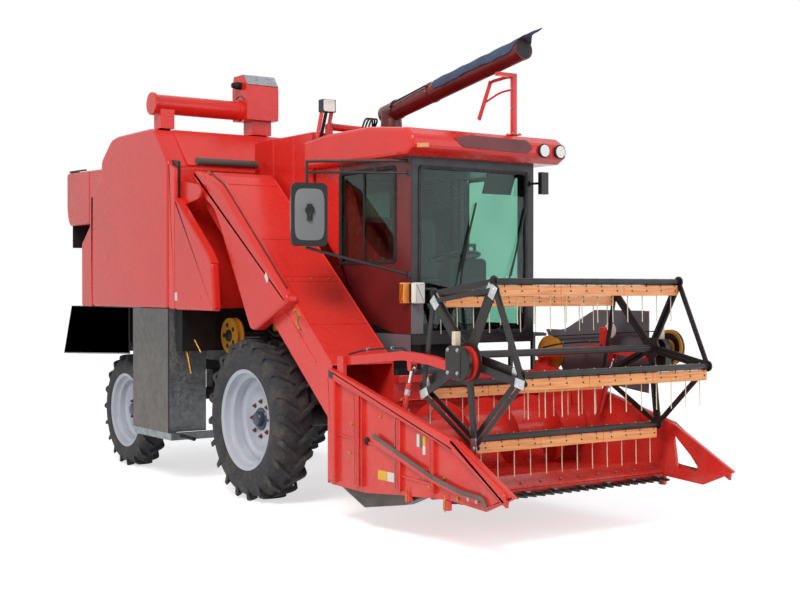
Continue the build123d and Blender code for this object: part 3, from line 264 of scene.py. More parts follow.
red = enamel("red gloss enamel", "#DC2A22", "#D3251E", 0.24)
trough_red = enamel("red enamel of the trough", "#E23A32", "#DB322B", 0.28)
header_red = enamel("red enamel of the header", "#DE322B", "#D32A24", 0.28, dust=0.35)
maroon = enamel("dark red enamel", "#6E1A1C", "#521214", 0.35)
black_paint = enamel("black paint", "#1B1A1B", "#121112", 0.38, dust=0.35)
reel_black = enamel("black paint of the reel", "#1D1817", "#141010", 0.4, dust=0.1)
dark_panel = enamel("dark grey sheet", "#56534F", "#4A4845", 0.45, dust=0.5)
grey_shield = enamel("grey sheet", "#6C6A72", "#605E66", 0.4, dust=0.1)
rim_paint = enamel("silver rim paint", "#C3CBD8", "#AEB7C6", 0.34, dust=0.55)
hub_blue = enamel("dark blue enamel", "#26364F", "#1C2A40", 0.35)
amber_paint = enamel("amber enamel", "#D2922C", "#B97C20", 0.35, dust=0.3)
shell_grey = enamel("grey moulded plastic", "#74797B", "#686D6F", 0.5, dust=0.1)
cast_black = worn_metal("dark cast iron", "#2A2A2C", "#161617", 0.6, 0.6, 7, 0.5)
galvanised = worn_metal("galvanised sheet", "#9AA0A4", "#73797D", 0.42, 0.85, 9, 0.12)
bare_steel = worn_metal("bare steel", "#B7B9BC", "#8B8D90", 0.32, 1.0, 4, 0.1)
knife_steel = worn_metal("dark knife steel", "#4A484A", "#1E1D1F", 0.4, 0.9, 4, 0.3)
chrome = worn_metal("hard chrome", "#D6D8DC", "#C2C5CA", 0.12, 1.0, 5, 0.03)
brass = worn_metal("yellow passivated steel", "#C79A4A", "#8D6A30", 0.35, 0.9, 4, 0.2)
rusty = worn_metal("rusty bolt", "#8A5230", "#54321F", 0.7, 0.4, 3, 0.5)
clamp_silver = worn_metal("zinc clamp", "#D8DBDE", "#A9ADB1", 0.3, 0.9, 5, 0.15)
tyre_rubber = tread_rubber()
sheet_rubber = enamel("black rubber sheet", "#1F1F21", "#141416", 0.7, dust=0.5)
flap_rubber = woven("ragged rubberised cloth", "#2D2D30", "#1B1B1D", 3.0)
canvas = woven("slate blue canvas", "#4A5A78", "#38455F", 2.0)
vinyl = woven("black vinyl", "#26262A", "#17171A", 2.5, 0.5)
board = varnished_board()
glass = tinted_glass()
clear_lens = lens("clear ribbed lens", "#F4F4EE", "#C9CCC8")
amber_lens = lens("amber ribbed lens", "#F59A2E", "#C46A12")
cream_tine = worn_metal("cream plastic coated wire", "#EADFC6", "#CDBF9F", 0.5, 0.0, 5, 0.1)
label_yellow = enamel("blank yellow label", "#E9BE3A", "#DDB02C", 0.5, dust=0.1)
label_white = enamel("blank white label", "#E4E2DC", "#D6D3CC", 0.5, dust=0.1)


# ---------------------------------------------------------------- meshes
def unite(*parts):
    """Joins (points, faces) pairs into one; the faces are lists of point numbers."""
    points, faces, shift = [], [], 0
    for p, f in parts:
        points.append(np.asarray(p, float).reshape(-1, 3))
        faces += [[int(i) + shift for i in face] for face in f]
        shift += len(points[-1])
    return np.concatenate(points), faces


def piece(name, shape, finish, soft=None, bevel=0.0, body="machine"):
    """Makes an object riding on a body from (points, faces) in metres, or from a list of such pairs.

    soft is the angle in degrees under which edges shade smoothly, bevel a width in metres.
    """
    points, faces = unite(*shape) if isinstance(shape, list) else shape
    mesh = bpy.data.meshes.new(name)
    mesh.from_pydata(np.asarray(points).tolist(), [], [list(f) for f in faces])
    mesh.validate()
    made = bpy.data.objects.new(name, mesh)
    bpy.context.scene.collection.objects.link(made)
    mesh.materials.append(finish)
    if soft is not None:
        mesh.shade_smooth()
        mesh.set_sharp_from_angle(angle=radians(soft))
    if bevel:
        round_edges(made, bevel)
    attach(made, body)
    return made


def round_edges(target, width):
    """Gives the edges sharper than 35 degrees a small round."""
    edge = target.modifiers.new("edge", "BEVEL")
    edge.width = width
    edge.segments = 2
    edge.limit_method = "ANGLE"
    edge.angle_limit = radians(35)
    return edge


def grid_faces(rows, columns, close_rows=False, close_columns=False):
    """Quads of a grid of rows x columns points stored row by row; either way may close on itself."""
    r = np.arange(rows if close_rows else rows - 1)
    c = np.arange(columns if close_columns else columns - 1)
    i, j = np.meshgrid(r, c, indexing="ij")
    i2, j2 = (i + 1) % rows, (j + 1) % columns
    return np.stack([i * columns + j, i * columns + j2, i2 * columns + j2, i2 * columns + j], -1).reshape(-1, 4)


def prism(outline, x0, x1):
    """Closed plate: a (y from the axle, z) outline carried straight from x0 to x1."""
    line = np.asarray(outline, float)
    y, z = line.T
    if np.sum(y * np.roll(z, -1) - np.roll(y, -1) * z) < 0:
        line = line[::-1]
    n = len(line)
    ends = [np.column_stack([np.full(n, x), line[:, 0] + axle_y, line[:, 1]]) for x in sorted((x0, x1))]
    sides = grid_faces(2, n, close_columns=True).tolist()
    return np.concatenate(ends), sides + [list(range(n))[::-1], list(range(n, 2 * n))]


def box(x0, x1, y0, y1, z0, z1):
    """Closed box; y is measured from the axle."""
    return prism([(y0, z0), (y1, z0), (y1, z1), (y0, z1)], x0, x1)


def turned(profile, centre, axis="x", sides=48, sign=1):
    """Body of revolution: each (distance along the axis, radius) point is swept round the axis through
    centre = (x, y from the axle, z). A closed profile gives a closed ring; one that starts and ends at
    radius 0 is closed at its poles."""
    line = np.asarray(profile, float) * [sign, 1]
    along, r = line.T
    if np.sum(along * np.roll(r, -1) - np.roll(along, -1) * r) > 0:
        line = line[::-1]
        along, r = line.T
    poles = r[0] < 1e-9
    a = np.linspace(0, 2 * pi, sides, endpoint=False)
    body = slice(1, -1) if poles else slice(None)
    u = r[body, None] * np.cos(a)
    v = r[body, None] * np.sin(a)
    w = np.repeat(along[body, None], sides, 1)
    shape = np.stack({"x": (w, u, v), "y": (v, w, u), "z": (u, v, w)}[axis], -1).reshape(-1, 3)
    faces = grid_faces(len(u), sides, close_rows=not poles, close_columns=True).tolist()
    if poles:
        ends = np.zeros((2, 3))
        ends[:, "xyz".index(axis)] = along[[0, -1]]
        ring, last = np.arange(sides), (len(u) - 1) * sides
        after = (ring + 1) % sides
        faces += np.stack([np.full(sides, len(shape)), after, ring], -1).tolist()
        faces += np.stack([np.full(sides, len(shape) + 1), ring + last, after + last], -1).tolist()
        shape = np.concatenate([shape, ends])
    return shape + [centre[0], centre[1] + axle_y, centre[2]], faces


def tube(path, radius, sides=12, ends=True):
    """Tube along a path of (x, y from the axle, z) points: a circle in the plane square to the path's
    direction at each point, turned with it without twist. radius may be one number or one for each point."""
    p = np.asarray(path, float) + [0, axle_y, 0]
    d = np.gradient(p, axis=0)
    d /= np.linalg.norm(d, axis=1)[:, None]
    up = np.array([0, 0, 1.0]) if abs(d[0][2]) < 0.9 else np.array([0, 1.0, 0])
    first = []
    for t in d:
        side = np.cross(t, up)
        side /= np.linalg.norm(side)
        up = np.cross(side, t)
        first.append((side, up.copy()))
    first = np.asarray(first)
    a = np.linspace(0, 2 * pi, sides, endpoint=False)
    r = np.broadcast_to(np.asarray(radius, float), (len(p),))
    ring = np.cos(a)[None, :, None] * first[:, 0][:, None, :] + np.sin(a)[None, :, None] * first[:, 1][:, None, :]
    points = (p[:, None, :] + ring * r[:, None, None]).reshape(-1, 3)
    faces = grid_faces(len(p), sides, close_columns=True).tolist()
    if ends:
        last = len(p) - 1
        faces += [list(range(sides))[::-1], list(range(last * sides, last * sides + sides))]
    return points, [f[::-1] for f in faces]


def rounded(path, radius, steps=5):
    """Rounds the corners of a path: each corner point becomes an arc-like bend made by blending the
    straight lines before and after it with a quadratic curve that starts radius before the corner."""
    p = [np.asarray(q, float) for q in path]
    out = [p[0]]
    for a, b, c in zip(p, p[1:], p[2:]):
        u, v = (a - b), (c - b)
        r = min(radius, np.linalg.norm(u) * 0.45, np.linalg.norm(v) * 0.45)
        start, end = b + u / np.linalg.norm(u) * r, b + v / np.linalg.norm(v) * r
        t = np.linspace(0, 1, steps)[:, None]
        out += list((1 - t) ** 2 * start + 2 * t * (1 - t) * b + t ** 2 * end)
    out.append(p[-1])
    return np.array(out)




def dress(node, finish, bevel_mm):
    """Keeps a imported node: its corners merge, its sharp edges get a small round, and it takes a finish."""
    target = nodes[node]
    target.data.materials.clear()
    target.data.materials.append(finish)
    if bevel_mm:
        join = target.modifiers.new("join", "WELD")
        join.merge_threshold = 0.00002
        round_edges(target, bevel_mm / 1000).harden_normals = False


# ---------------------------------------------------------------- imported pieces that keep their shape
# node, finish, round of the edges in millimetres
dressed = (("side_covers", red, 9), ("corner_covers", red, 12), ("thresher_body", red, 5), ("straw_hood", red, 7),
    ("rubber_flaps", sheet_rubber, 0), ("side_cabinets", galvanised, 0), ("cabinet_panels", dark_panel, 3),
    ("drive_pulley", amber_paint, 2), ("jack_pulley", amber_paint, 2), ("feeder_trough", trough_red, 4),
    ("belt_guard", red, 14), ("header_pan", header_red, 2), ("header_sides", header_red, 4), ("skids", black_paint,
    6), ("finger_bar", black_paint, 3), ("knife", knife_steel, 0), ("header_auger", header_red, 1),
    ("reel_frame", reel_black, 2), ("reel_eccentric", reel_black, 2), ("reel_arms", header_red, 4), ("lift_barrels",
    black_paint, 2), ("lift_rods", chrome, 1), ("reel_barrels", header_red, 2), ("reel_rods", chrome, 1),
    ("cab_frame", black_paint, 6), ("cab_glass", glass, 0), ("door_glass", glass, 0), ("cab_door", black_paint, 6),
    ("cab_roof", red, 25), ("seat", vinyl, 20), ("steering_column", black_paint, 2), ("grain_tank", red, 8),
    ("engine", cast_black, 6), ("walkway", black_paint, 3), ("mirrors", black_paint, 3), ("lamps", black_paint, 3),
    ("elevator_tube", red, 8), ("unloader_supports", red, 3), ("unloader_tube", maroon, 4), ("canvas_spout", canvas,
    0), ("chassis_frame", black_paint, 4), ("drive_axle", cast_black, 4), ("steer_axle", cast_black, 6),
    ("knuckle_left", cast_black, 3), ("knuckle_right", cast_black, 3),)
for node, finish, edge in dressed:
    dress(node, finish, edge)
for side in ("left", "right"):
    for axle in ("front", "rear"):
        dress(f"{axle}_tyre_{side}", tyre_rubber, 3)
        dress(f"{axle}_rim_{side}", rim_paint, 1)
for i in range(1, 6):
    dress(f"reel_bat_{i}", reel_black, 1)


# ---------------------------------------------------------------- shapes used again and again
def counterclockwise(outline):
    """The closed (y, z) outline, turned round if it runs clockwise."""
    line = np.asarray(outline, float)
    y, z = line.T
    return line if np.sum(y * np.roll(z, -1) - np.roll(y, -1) * z) > 0 else line[::-1]


def inset(outline, distance):
    """Closed outline with each side moved inwards: a corner goes along the sum of its two sides' normals,
    divided by one plus their product, so that both sides move by the distance."""
    line = counterclockwise(outline)
    way = np.roll(line, -1, 0) - line
    way /= np.linalg.norm(way, axis=1)[:, None]
    normal = np.column_stack([-way[:, 1], way[:, 0]])
    before = np.roll(normal, 1, 0)
    return line + distance * (normal + before) / (1 + np.sum(normal * before, 1))[:, None]


def soft_outline(points, radius, steps=6):
    """Closed outline with bent corners: each one becomes the quadratic curve from a point before the
    corner, pulled by the corner, to a point after it."""
    line = np.asarray(points, float)
    u, v = np.roll(line, 1, 0) - line, np.roll(line, -1, 0) - line
    lu, lv = np.linalg.norm(u, axis=1), np.linalg.norm(v, axis=1)
    r = np.minimum(radius, 0.45 * np.minimum(lu, lv))
    start, end = line + u * (r / lu)[:, None], line + v * (r / lv)[:, None]
    t = np.linspace(0, 1, steps)[None, :, None]
    return ((1 - t) ** 2 * start[:, None] + 2 * t * (1 - t) * line[:, None] + t ** 2 * end[:, None]).reshape(-1, 2)


def pressed(outline, x0, x1, edge, steps=5):
    """Pressed sheet panel: a closed outline carried from x0 to x1, whose rim rolls over in a quarter circle
    of radius edge: at angle a the rim stands edge * sin a further out and edge * (1 - cos a) further in."""
    line = counterclockwise(outline)
    sign = 1 if x1 > x0 else -1
    a = np.linspace(0, pi / 2, steps)
    levels = [(x0, 0.0)] + list(zip(x1 - sign * edge * (1 - np.sin(a)), edge * (1 - np.cos(a))))
    levels.append((x1, edge * 1.4))
    n = len(line)
    rings = [np.column_stack([np.full(n, x), inset(line, d) + [axle_y, 0]]) for x, d in levels]
    sides = grid_faces(len(rings), n, close_columns=True).tolist()
    last = (len(rings) - 1) * n
    faces = sides + [list(range(n))[::-1], list(range(last, last + n))]
    return np.concatenate(rings), (faces if sign > 0 else [f[::-1] for f in faces])


def panel(outline, corner, x0, x1, edge, steps=6):
    """Pressed panel whose outline has rounded corners."""
    return pressed(soft_outline(outline, corner, steps), x0, x1, edge)


def pipe(path, bend, radius, sides=12, steps=5):
    """Tube along a path with rounded corners."""
    return tube(rounded(path, bend, steps), radius, sides)


def bolts(places, axis="x", radius=0.009, height=0.007, sign=1, washer=1.5):
    """Hexagon heads on washers: a six-sided turned profile on a round one, at each (x, y, z) place."""
    heads = []
    for place in places:
        heads.append(turned([(0, 0), (0, radius * washer), (0.002, radius * washer), (0.002, 0)], place, axis, 14,
            sign))
        heads.append(turned([(0.002, 0), (0.002, radius), (height, radius), (height + 0.001, radius * 0.8),
            (height + 0.001, 0)], place, axis, 6, sign))
    return unite(*heads)


def bar(start, end, across, height, up=(0, 0, 1.0)):
    """Rectangular bar between two (x, y, z) points; height is measured along up."""
    a, b = np.asarray(start, float), np.asarray(end, float)
    d = (b - a) / np.linalg.norm(b - a)
    side = np.cross(d, up)
    side /= np.linalg.norm(side)
    top = np.cross(side, d)
    corners = [(-1, -1), (1, -1), (1, 1), (-1, 1)]
    ring = np.array([side * across / 2 * u + top * height / 2 * v for u, v in corners])
    points = np.concatenate([ring + a, ring + b]) + [0, axle_y, 0]
    faces = [[0, 1, 5, 4], [1, 2, 6, 5], [2, 3, 7, 6], [3, 0, 4, 7], [3, 2, 1, 0], [4, 5, 6, 7]]
    return points, [f[::-1] for f in faces]


def strip(line, x0, x1, thick):
    """Flat bar bent along a (y, z) line: the line and its copy moved square to it by thick, from x0 to x1."""
    p = np.asarray(line, float)
    d = np.gradient(p, axis=0)
    d /= np.linalg.norm(d, axis=1)[:, None]
    return prism(np.concatenate([p, (p + np.column_stack([-d[:, 1], d[:, 0]]) * thick)[::-1]]), x0, x1)


def bent(line, radius, steps=6):
    """Open (y, z) line with its corners rounded."""
    flat = [(0.0, y, z) for y, z in line]
    return rounded(flat, radius, steps)[:, 1:]


def oblong(y0, y1, z0, z1):
    """Outline of a rectangle from y0, z0 over y0, z1 to y1."""
    return [(y0, z0), (y0, z1), (y1, z1), (y1, z0)]


mirrored = (("left", 1), ("right", -1))


# ---------------------------------------------------------------- wheels
def carcass(radius, width, bead):
    """Closed (x, radius) profile of a farm tyre below its bars: bead, bulging wall, shoulder, crowned tread."""
    half, side = width / 2, radius - bead
    wall = [(0.78, 0.0), (0.84, 0.03), (0.91, 0.12), (0.975, 0.28), (1.0, 0.45), (0.985, 0.62), (0.93, 0.77),
        (0.84, 0.87), (0.7, 0.92), (0.45, 0.945), (0.2, 0.955)]
    out = [(half * u, bead + (side - 0.02) * v) for u, v in wall]
    inner = [(half * 0.66, bead - 0.002), (half * 0.7, bead - 0.004)]
    right = inner + out
    return [(-x, r) for x, r in right][::-1][:-1] + [(0.0, bead + (side - 0.02) * 0.957)] + right[1:]


def tread_bars(radius, width, centre, pairs, bar_w, lug, rake, sign):
    """Tread bars in a V whose point leads: bar k of a hand starts at angle 270 + hand * 90 / pairs degrees,
    runs from the middle to the shoulder while it falls back by rake times the way across, and bends down
    the wall for its last fifth. Its section is a trapezium, lug high, wider at the foot and the shoulder."""
    s = np.linspace(0, 1, 12)
    half = width / 2
    x = np.where(s < 0.82, s / 0.82 * half * 0.93, half * 0.93 + (s - 0.82) / 0.18 * half * 0.05)
    drop = np.where(s < 0.6, 0, ((s - 0.6) / 0.4) ** 2 * 0.017) + np.clip(s - 0.84, 0, None) / 0.16 * 0.055
    lag = rake * np.minimum(x, half * 0.93) * (1 - 0.12 * s) + 0.01 * s ** 2
    top, foot = radius - drop, radius - lug - 0.012 - drop * 0.9
    wide = bar_w * (0.86 + 0.26 * s)
    corners = ((foot, -0.62), (foot, 0.62), (top, 0.42), (top, -0.42))
    shapes = []
    for hand in (1, -1):
        a0 = radians(270 + hand * 90 / pairs) + np.arange(pairs) * 2 * pi / pairs
        rings = []
        for r, w in corners:
            a = a0[:, None] - (lag - w * wide)[None, :] / radius
            rings.append(np.stack([np.broadcast_to(hand * sign * x, a.shape), r * np.cos(a), r * np.sin(a)], -1))
        points = np.stack(rings, 2).reshape(-1, 3) + [centre[0], centre[1] + axle_y, centre[2]]
        one = grid_faces(len(s), 4, close_columns=True)
        caps = np.array([[3, 2, 1, 0], [len(s) * 4 - 4, len(s) * 4 - 3, len(s) * 4 - 2, len(s) * 4 - 1]])
        one = np.concatenate([one, caps])
        if hand * sign > 0:
            one = one[:, ::-1]
        faces = (one[None] + (np.arange(pairs) * len(s) * 4)[:, None, None]).reshape(-1, 4)
        shapes.append((points, faces.tolist()))
    return unite(*shapes)


def rim_shape(flange, width, dish, centre, sign):
    """Rim barrel, and a dished disc that steps in to its bolt circle; both are closed turned rings. A row is a
    share of the half width, a step along the axis and a step out from the flange."""
    w, lip, edge, bore = 0.4 * width, 0.016, flange - 0.06, 0.045
    barrel = [(w * share + along, flange + out) for share, along, out in ((1, lip, -0.002), (1, lip, 0),
        (1, 0.008, 0.003), (1, 0.002, -0.004), (1, 0, -0.022), (0.72, 0, -0.026), (0.62, 0, -0.03),
        (0.5, 0, -0.058), (-0.3, 0, -0.058), (-0.42, 0, -0.03), (-0.55, 0, -0.026), (-1, 0, -0.022),
        (-1, -0.002, -0.004), (-1, -0.008, 0.003), (-1, -lip, 0), (-1, -lip, -0.005), (-1, -0.006, -0.028),
        (-0.55, 0, -0.033), (-0.4, 0, -0.037), (-0.28, 0, -0.065), (0.48, 0, -0.065), (0.6, 0, -0.037),
        (0.7, 0, -0.033), (1, 0.004, -0.028), (1, lip - 0.006, -0.01))]
    disc = [(w + lip - dish + along, edge + out) for along, out in ((-0.006, 0), (0.002, 0), (0.01, -0.022),
        (0.012, -0.05), (0.004, -0.062), (-0.006, -0.07), (-0.008, -0.1), (-0.002, -0.112), (0, -0.118),
        (0, bore - edge), (-0.01, bore - edge), (-0.01, -0.118), (-0.018, -0.11), (-0.016, -0.066), (-0.006, -0.05),
        (-0.006, -0.03))]
    return turned(barrel, centre, "x", 96, sign), turned(disc, centre, "x", 96, sign)


wheels = (("front", front_r, 0.396, 0.3, 0.15, 0.1375, 20, 0.042), ("rear", rear_r, 0.342, 0.226, 0.11, 0.1016, 19,
    0.034))
for axle, radius, flange, width, dish, circle, pairs, bar_w in wheels:
    for side, sign in mirrored:
        body = f"{axle}_wheel_{side}"
        x = middle(f"{axle}_tyre_{side}", 0)
        y = middle(f"{axle}_rim_{side}", 1) - axle_y
        centre = (x, y, radius)
        piece(f"{axle}_tread_bars_{side}", tread_bars(radius, width, centre, pairs, bar_w, 0.028, 0.85, sign),
            tyre_rubber, 40, 0.003, body=body)
        cover = piece(f"{axle}_tyre_wall_{side}", turned(carcass(radius, width, flange - 0.022), centre, "x", 128),
            tyre_rubber, 60, body=body)
        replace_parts(cover, f"{axle}_tyre_{side}")
        barrel, disc = rim_shape(flange, width, dish, centre, sign)
        rim = piece(f"{axle}_rim_barrel_{side}", barrel, rim_paint, 50, body=body)
        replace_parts(rim, f"{axle}_rim_{side}")
        piece(f"{axle}_rim_disc_{side}", disc, rim_paint, 40, body=body)
        out = x + sign * (0.4 * width + 0.016 - dish)
        ring = [(out, y + circle * cos(a), radius + circle * sin(a)) for a in np.arange(8) * pi / 4]
        piece(f"{axle}_wheel_nuts_{side}", [bolts(ring, "x", 0.015, 0.014, sign, 1.3),
            *[turned([(0, 0), (0, 0.009), (0.024, 0.009), (0.026, 0.007), (0.026, 0)], p, "x", 12, sign) for p
            in ring]], rusty, 30, body=body)
        hub = [(0, 0), (0, 0.088), (0.006, 0.09), (0.012, 0.086), (0.014, 0.062), (0.04, 0.058), (0.05, 0.05),
            (0.054, 0.034), (0.056, 0)]
        piece(f"{axle}_hub_cap_{side}", turned(hub, (out, y, radius), "x", 48, sign), hub_blue, 35, body=body)


# ---------------------------------------------------------------- sheet panels of the body
# name, finish, corner radius, depth of the inner and the outer face inside the widest point, rolled rim, outline
covers = (("side_panel", red, 0.05, 0.036, 0.0, 0.022, [(1.16, 1.49), (1.16, 2.745), (1.43, 3.04), (1.52, 3.06),
    (2.25, 3.06), (2.4, 3.04), (2.64, 2.86), (2.64, 2.722), (2.864, 2.566), (2.864, 1.49)]), ("side_panel_rear",
    red, 0.03, 0.036, 0.001, 0.012, [(2.872, 2.56), (2.925, 2.262), (3.14, 2.095), (3.14, 1.49), (2.872, 1.49)]),
    ("side_flange", trough_red, 0.012, 0.036, 0.006, 0.008, [(1.04, 1.49), (1.04, 2.68), (1.134, 2.716),
    (1.154, 2.738), (1.154, 1.49)]), ("corner_panel", red, 0.035, 0.065, 0.004, 0.018, [(0.305, 1.482),
    (0.348, 1.859), (0.437, 1.961), (0.958, 2.371), (1.036, 2.42), (1.036, 1.482)]), ("corner_plate", label_white,
    0.006, 0.0045, 0.0025, 0.0008, [(0.985, 1.56), (0.985, 1.63), (1.03, 1.63), (1.03, 1.56)]))
stands_for = {"side_panel": "side_covers", "corner_panel": "corner_covers"}
# name, sides, depth, (distance along the axis, radius) profile, places
buttons = (("panel_latch", 40, 0.0045, [(0, 0), (0, 0.062), (0.003, 0.06), (0.0036, 0.05), (0.0015, 0.047),
    (0.0015, 0)], [(1.3, 1.62)]), ("panel_knobs", 24, 0.0055, [(0, 0), (0, 0.016), (0.004, 0.016), (0.005, 0.011),
    (0.0055, 0)], [(2.8, 1.58), (2.8, 2.2), (2.45, 2.92), (1.55, 2.98), (3.05, 1.58)]), ("corner_knob", 28, 0.0045,
    [(0, 0), (0, 0.024), (0.003, 0.023), (0.0035, 0.015), (0.0035, 0)], [(0.56, 1.585)]))
for side, sign in mirrored:
    at = lambda depth: sign * (half_width - depth)
    for name, finish, corner, deep, shallow, rim, outline in covers:
        made = piece(f"{name}_{side}", panel(outline, corner, at(deep), at(shallow), rim), finish, 30)
        if name in stands_for:
            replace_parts(made, stands_for[name])
    for name, sides, depth, profile, places in buttons:
        piece(f"{name}_{side}", [turned(profile, (at(depth), *p), "x", sides, sign) for p in places], red, 30)
    # bent edge strip along the corner cover's slope, and a black sheet in the slot over it: painted shade for the gap
    piece(f"corner_edge_{side}", strip(bent([(0.352, 1.866), (0.44, 1.966), (0.96, 2.376), (1.03, 2.42)], 0.03),
        at(0.07), at(0.002), 0.004), trough_red, 30)
    piece(f"slot_painted_shade_{side}", prism([(1.035, 2.43), (1.035, 2.74), (1.155, 2.76), (1.155, 2.43)], at(0.06),
        at(0.037)), black_paint, bevel=0.002)

# body's seams: folded edge strips over the top, and the sheet lines across the front slope
piece("body_top_seams", [strip(bent([(1.43, 3.041), (1.522, 3.0615), (2.25, 3.0615), (2.4, 3.043)], 0.05),
    x - 0.012, x + 0.012, 0.004) for x in (-0.78, -0.28, 0.28, 0.78)], red, 30)
piece("slope_panel", prism([(1.12, 2.722), (1.432, 3.052), (1.44, 3.046), (1.13, 2.716)], -0.98, 0.15), trough_red,
    bevel=0.002)
piece("front_wall_panel", prism([(1.036, 2.43), (1.036, 2.676), (1.04, 2.676), (1.04, 2.43)], -1.085, 0.15),
    trough_red, bevel=0.001)
piece("feeder_seal", tube([(-0.99, 0.93, 2.735), (-0.42, 0.93, 2.735)], 0.034, 24), dark_panel, 40)

# straw hood: rolled edge, walkers inside, dark edge on top, ragged cloth
hood_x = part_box("straw_hood")[1][0]
for side, sign in mirrored:
    outline = [(2.72, 2.8), (3.672, 2.822), (3.672, 2.44), (3.615, 2.295), (2.99, 2.295), (2.925, 2.5),
        (2.9, 2.545), (2.72, 2.7)]
    piece(f"hood_cheek_{side}", panel(outline, 0.05, sign * (hood_x - 0.004), sign * (hood_x + 0.016), 0.012), red,
        30)
    piece(f"hood_rib_{side}", strip([(3.1, 2.3), (3.1, 2.8)], sign * (hood_x + 0.01), sign * (hood_x + 0.02), 0.03),
        red, bevel=0.003)
edge_points = [(-hood_x, 3.2, 2.825), (-hood_x, 3.66, 2.836), (hood_x, 3.66, 2.836), (hood_x, 3.2, 2.825)]
piece("hood_edge_strip", pipe(edge_points, 0.05, 0.009, 12, 6), sheet_rubber, 40)
walkers = []
for i in range(4):
    x = (i - 1.5) * 0.5
    saw = [(2.68, 2.36)]
    for k in range(4):
        saw += [(2.68 + k * 0.24, 2.5 - 0.02 * k), (2.9 + k * 0.24, 2.43 - 0.02 * k)]
    saw += [(3.62, 2.34)]
    walkers.append(prism(saw, x - 0.215, x - 0.205))
    walkers.append(prism(saw, x + 0.205, x + 0.215))
piece("straw_walkers", walkers, galvanised, bevel=0.001)


def ragged_sheet(x0, x1, y, top_z, low_z, thick, waves, fray, seed):
    """Hanging rubberised cloth on a grid of u across and v down: its depth waves as a sum of sines that
    grows with v, and its lower edge is torn by a fixed random fringe that only moves the last rows."""
    u, v = np.meshgrid(np.linspace(0, 1, 181), np.linspace(0, 1, 15), indexing="ij")
    fringe = np.random.default_rng(seed).random(181)[:, None] * fray
    swell = waves * v * (np.sin(9.4 * u) + 0.5 * np.sin(23 * u + 1) + 0.3 * np.sin(51 * u))
    z = top_z + (low_z - top_z) * v + fringe * np.clip(v * 2.2 - 1.2, 0, 1)
    front_face = np.stack([x0 + (x1 - x0) * u, y + swell + axle_y, z], -1)
    back_face = front_face + [0, thick, 0]
    n = 181 * 15
    faces = grid_faces(181, 15)
    ring = np.concatenate([np.arange(15), 15 * np.arange(1, 181) + 14, 180 * 15 + np.arange(13, -1, -1),
        15 * np.arange(179, 0, -1)])
    after = np.roll(ring, -1)
    rim = np.stack([ring, after, after + n, ring + n], -1)
    return (np.concatenate([front_face.reshape(-1, 3), back_face.reshape(-1, 3)]),
        faces.tolist() + (faces[:, ::-1] + n).tolist() + rim[:, ::-1].tolist())


cloth = piece("hood_flap", ragged_sheet(-hood_x + 0.02, hood_x - 0.02, 3.607, 2.292, 2.072, 0.004, 0.01, 0.035, 4),
    flap_rubber, 60)

# deflector: rubber sheet under the body's back, with a pale folded edge
for side, sign in mirrored:
    x = sign * (half_width - 0.022)
    outline = [(3.456, 1.489), (3.672, 1.012), (2.034, 1.072), (2.034, 1.489)]
    made = piece(f"deflector_cheek_{side}", panel(outline, 0.02, x - sign * 0.007, x + sign * 0.002, 0.003),
        sheet_rubber, 30)
    piece(f"deflector_edge_{side}", tube([(x, 2.04, 1.072), (x, 3.67, 1.012)], 0.006, 10), galvanised, 40)


# ---------------------------------------------------------------- belt guard and trough
guard_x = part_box("belt_guard")[0][0]
trough_x = (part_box("feeder_trough")[0][0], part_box("feeder_trough")[1][0])
guard_line = [(0.9, 2.66), (0.67, 2.62), (0.4, 2.5), (-0.6, 1.668), (-0.668, 1.612), (-0.672, 1.56), (-0.64, 1.54),
    (-0.18, 1.34), (-0.1, 1.34), (0.51, 2.3), (0.7, 2.4), (0.88, 2.56)]
cover = piece("guard_shell", panel(guard_line, 0.09, trough_x[0] - 0.001, guard_x, 0.03, 8), red, 30, body="header")
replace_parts(cover, "belt_guard")
upper = np.array([(0.62, 2.595), (0.33, 2.42), (-0.02, 2.13), (-0.42, 1.795)])
piece("guard_bolts", [bolts([(guard_x + 0.028, y + 0.01 + k * 0.022, z + 0.012 + k * 0.018)], "z", 0.009,
    0.008) for y, z in upper for k in (0, 1)], brass, 30, body="header")
piece("guard_edge", tube([(guard_x + 0.045, y, z) for y, z in ((0.64, 2.618), (0.4, 2.506), (-0.61, 1.668))], 0.006,
    10), maroon, 40, body="header")
piece("guard_plate", panel([(-0.385, 1.7), (-0.405, 1.735), (-0.365, 1.79), (-0.345, 1.755)], 0.004,
    guard_x - 0.0004, guard_x - 0.0022, 0.0006), label_white, 30, body="header")

# seams across the trough's top sheet and its folded side edges
t_top, t_foot = np.array([0.608, 2.591]), np.array([-1.19, 1.103])
t_out = np.array([t_foot[1] - t_top[1], t_top[0] - t_foot[0]]) / np.linalg.norm(t_foot - t_top)


def on_trough(run, height=0.0):
    """(y, z) point a share down the trough's top sheet, height above it."""
    return tuple(t_top + (t_foot - t_top) * run + t_out * height)


seams = [prism([on_trough(run - 0.003), on_trough(run + 0.003), on_trough(run + 0.003, 0.004),
    on_trough(run - 0.003, 0.004)], trough_x[0] + 0.012, trough_x[1] - 0.012) for run in (0.045, 0.36, 0.56, 0.585,
    0.8)]
seams += [tube([(x, *on_trough(0.01, 0.001)), (x, *on_trough(0.985, 0.001))], 0.006, 10) for x
    in (trough_x[0] + 0.006, trough_x[1] - 0.006)]
piece("trough_seams", seams, trough_red, 35, body="header")
piece("trough_bolts", [turned([(0, 0), (0, 0.01), (0.004, 0.009), (0.005, 0.005), (0.005, 0)],
    (x, *on_trough(0.572, 0.0)), "z", 14) for x in (-0.86, -0.68, -0.52)], brass, 30, body="header")
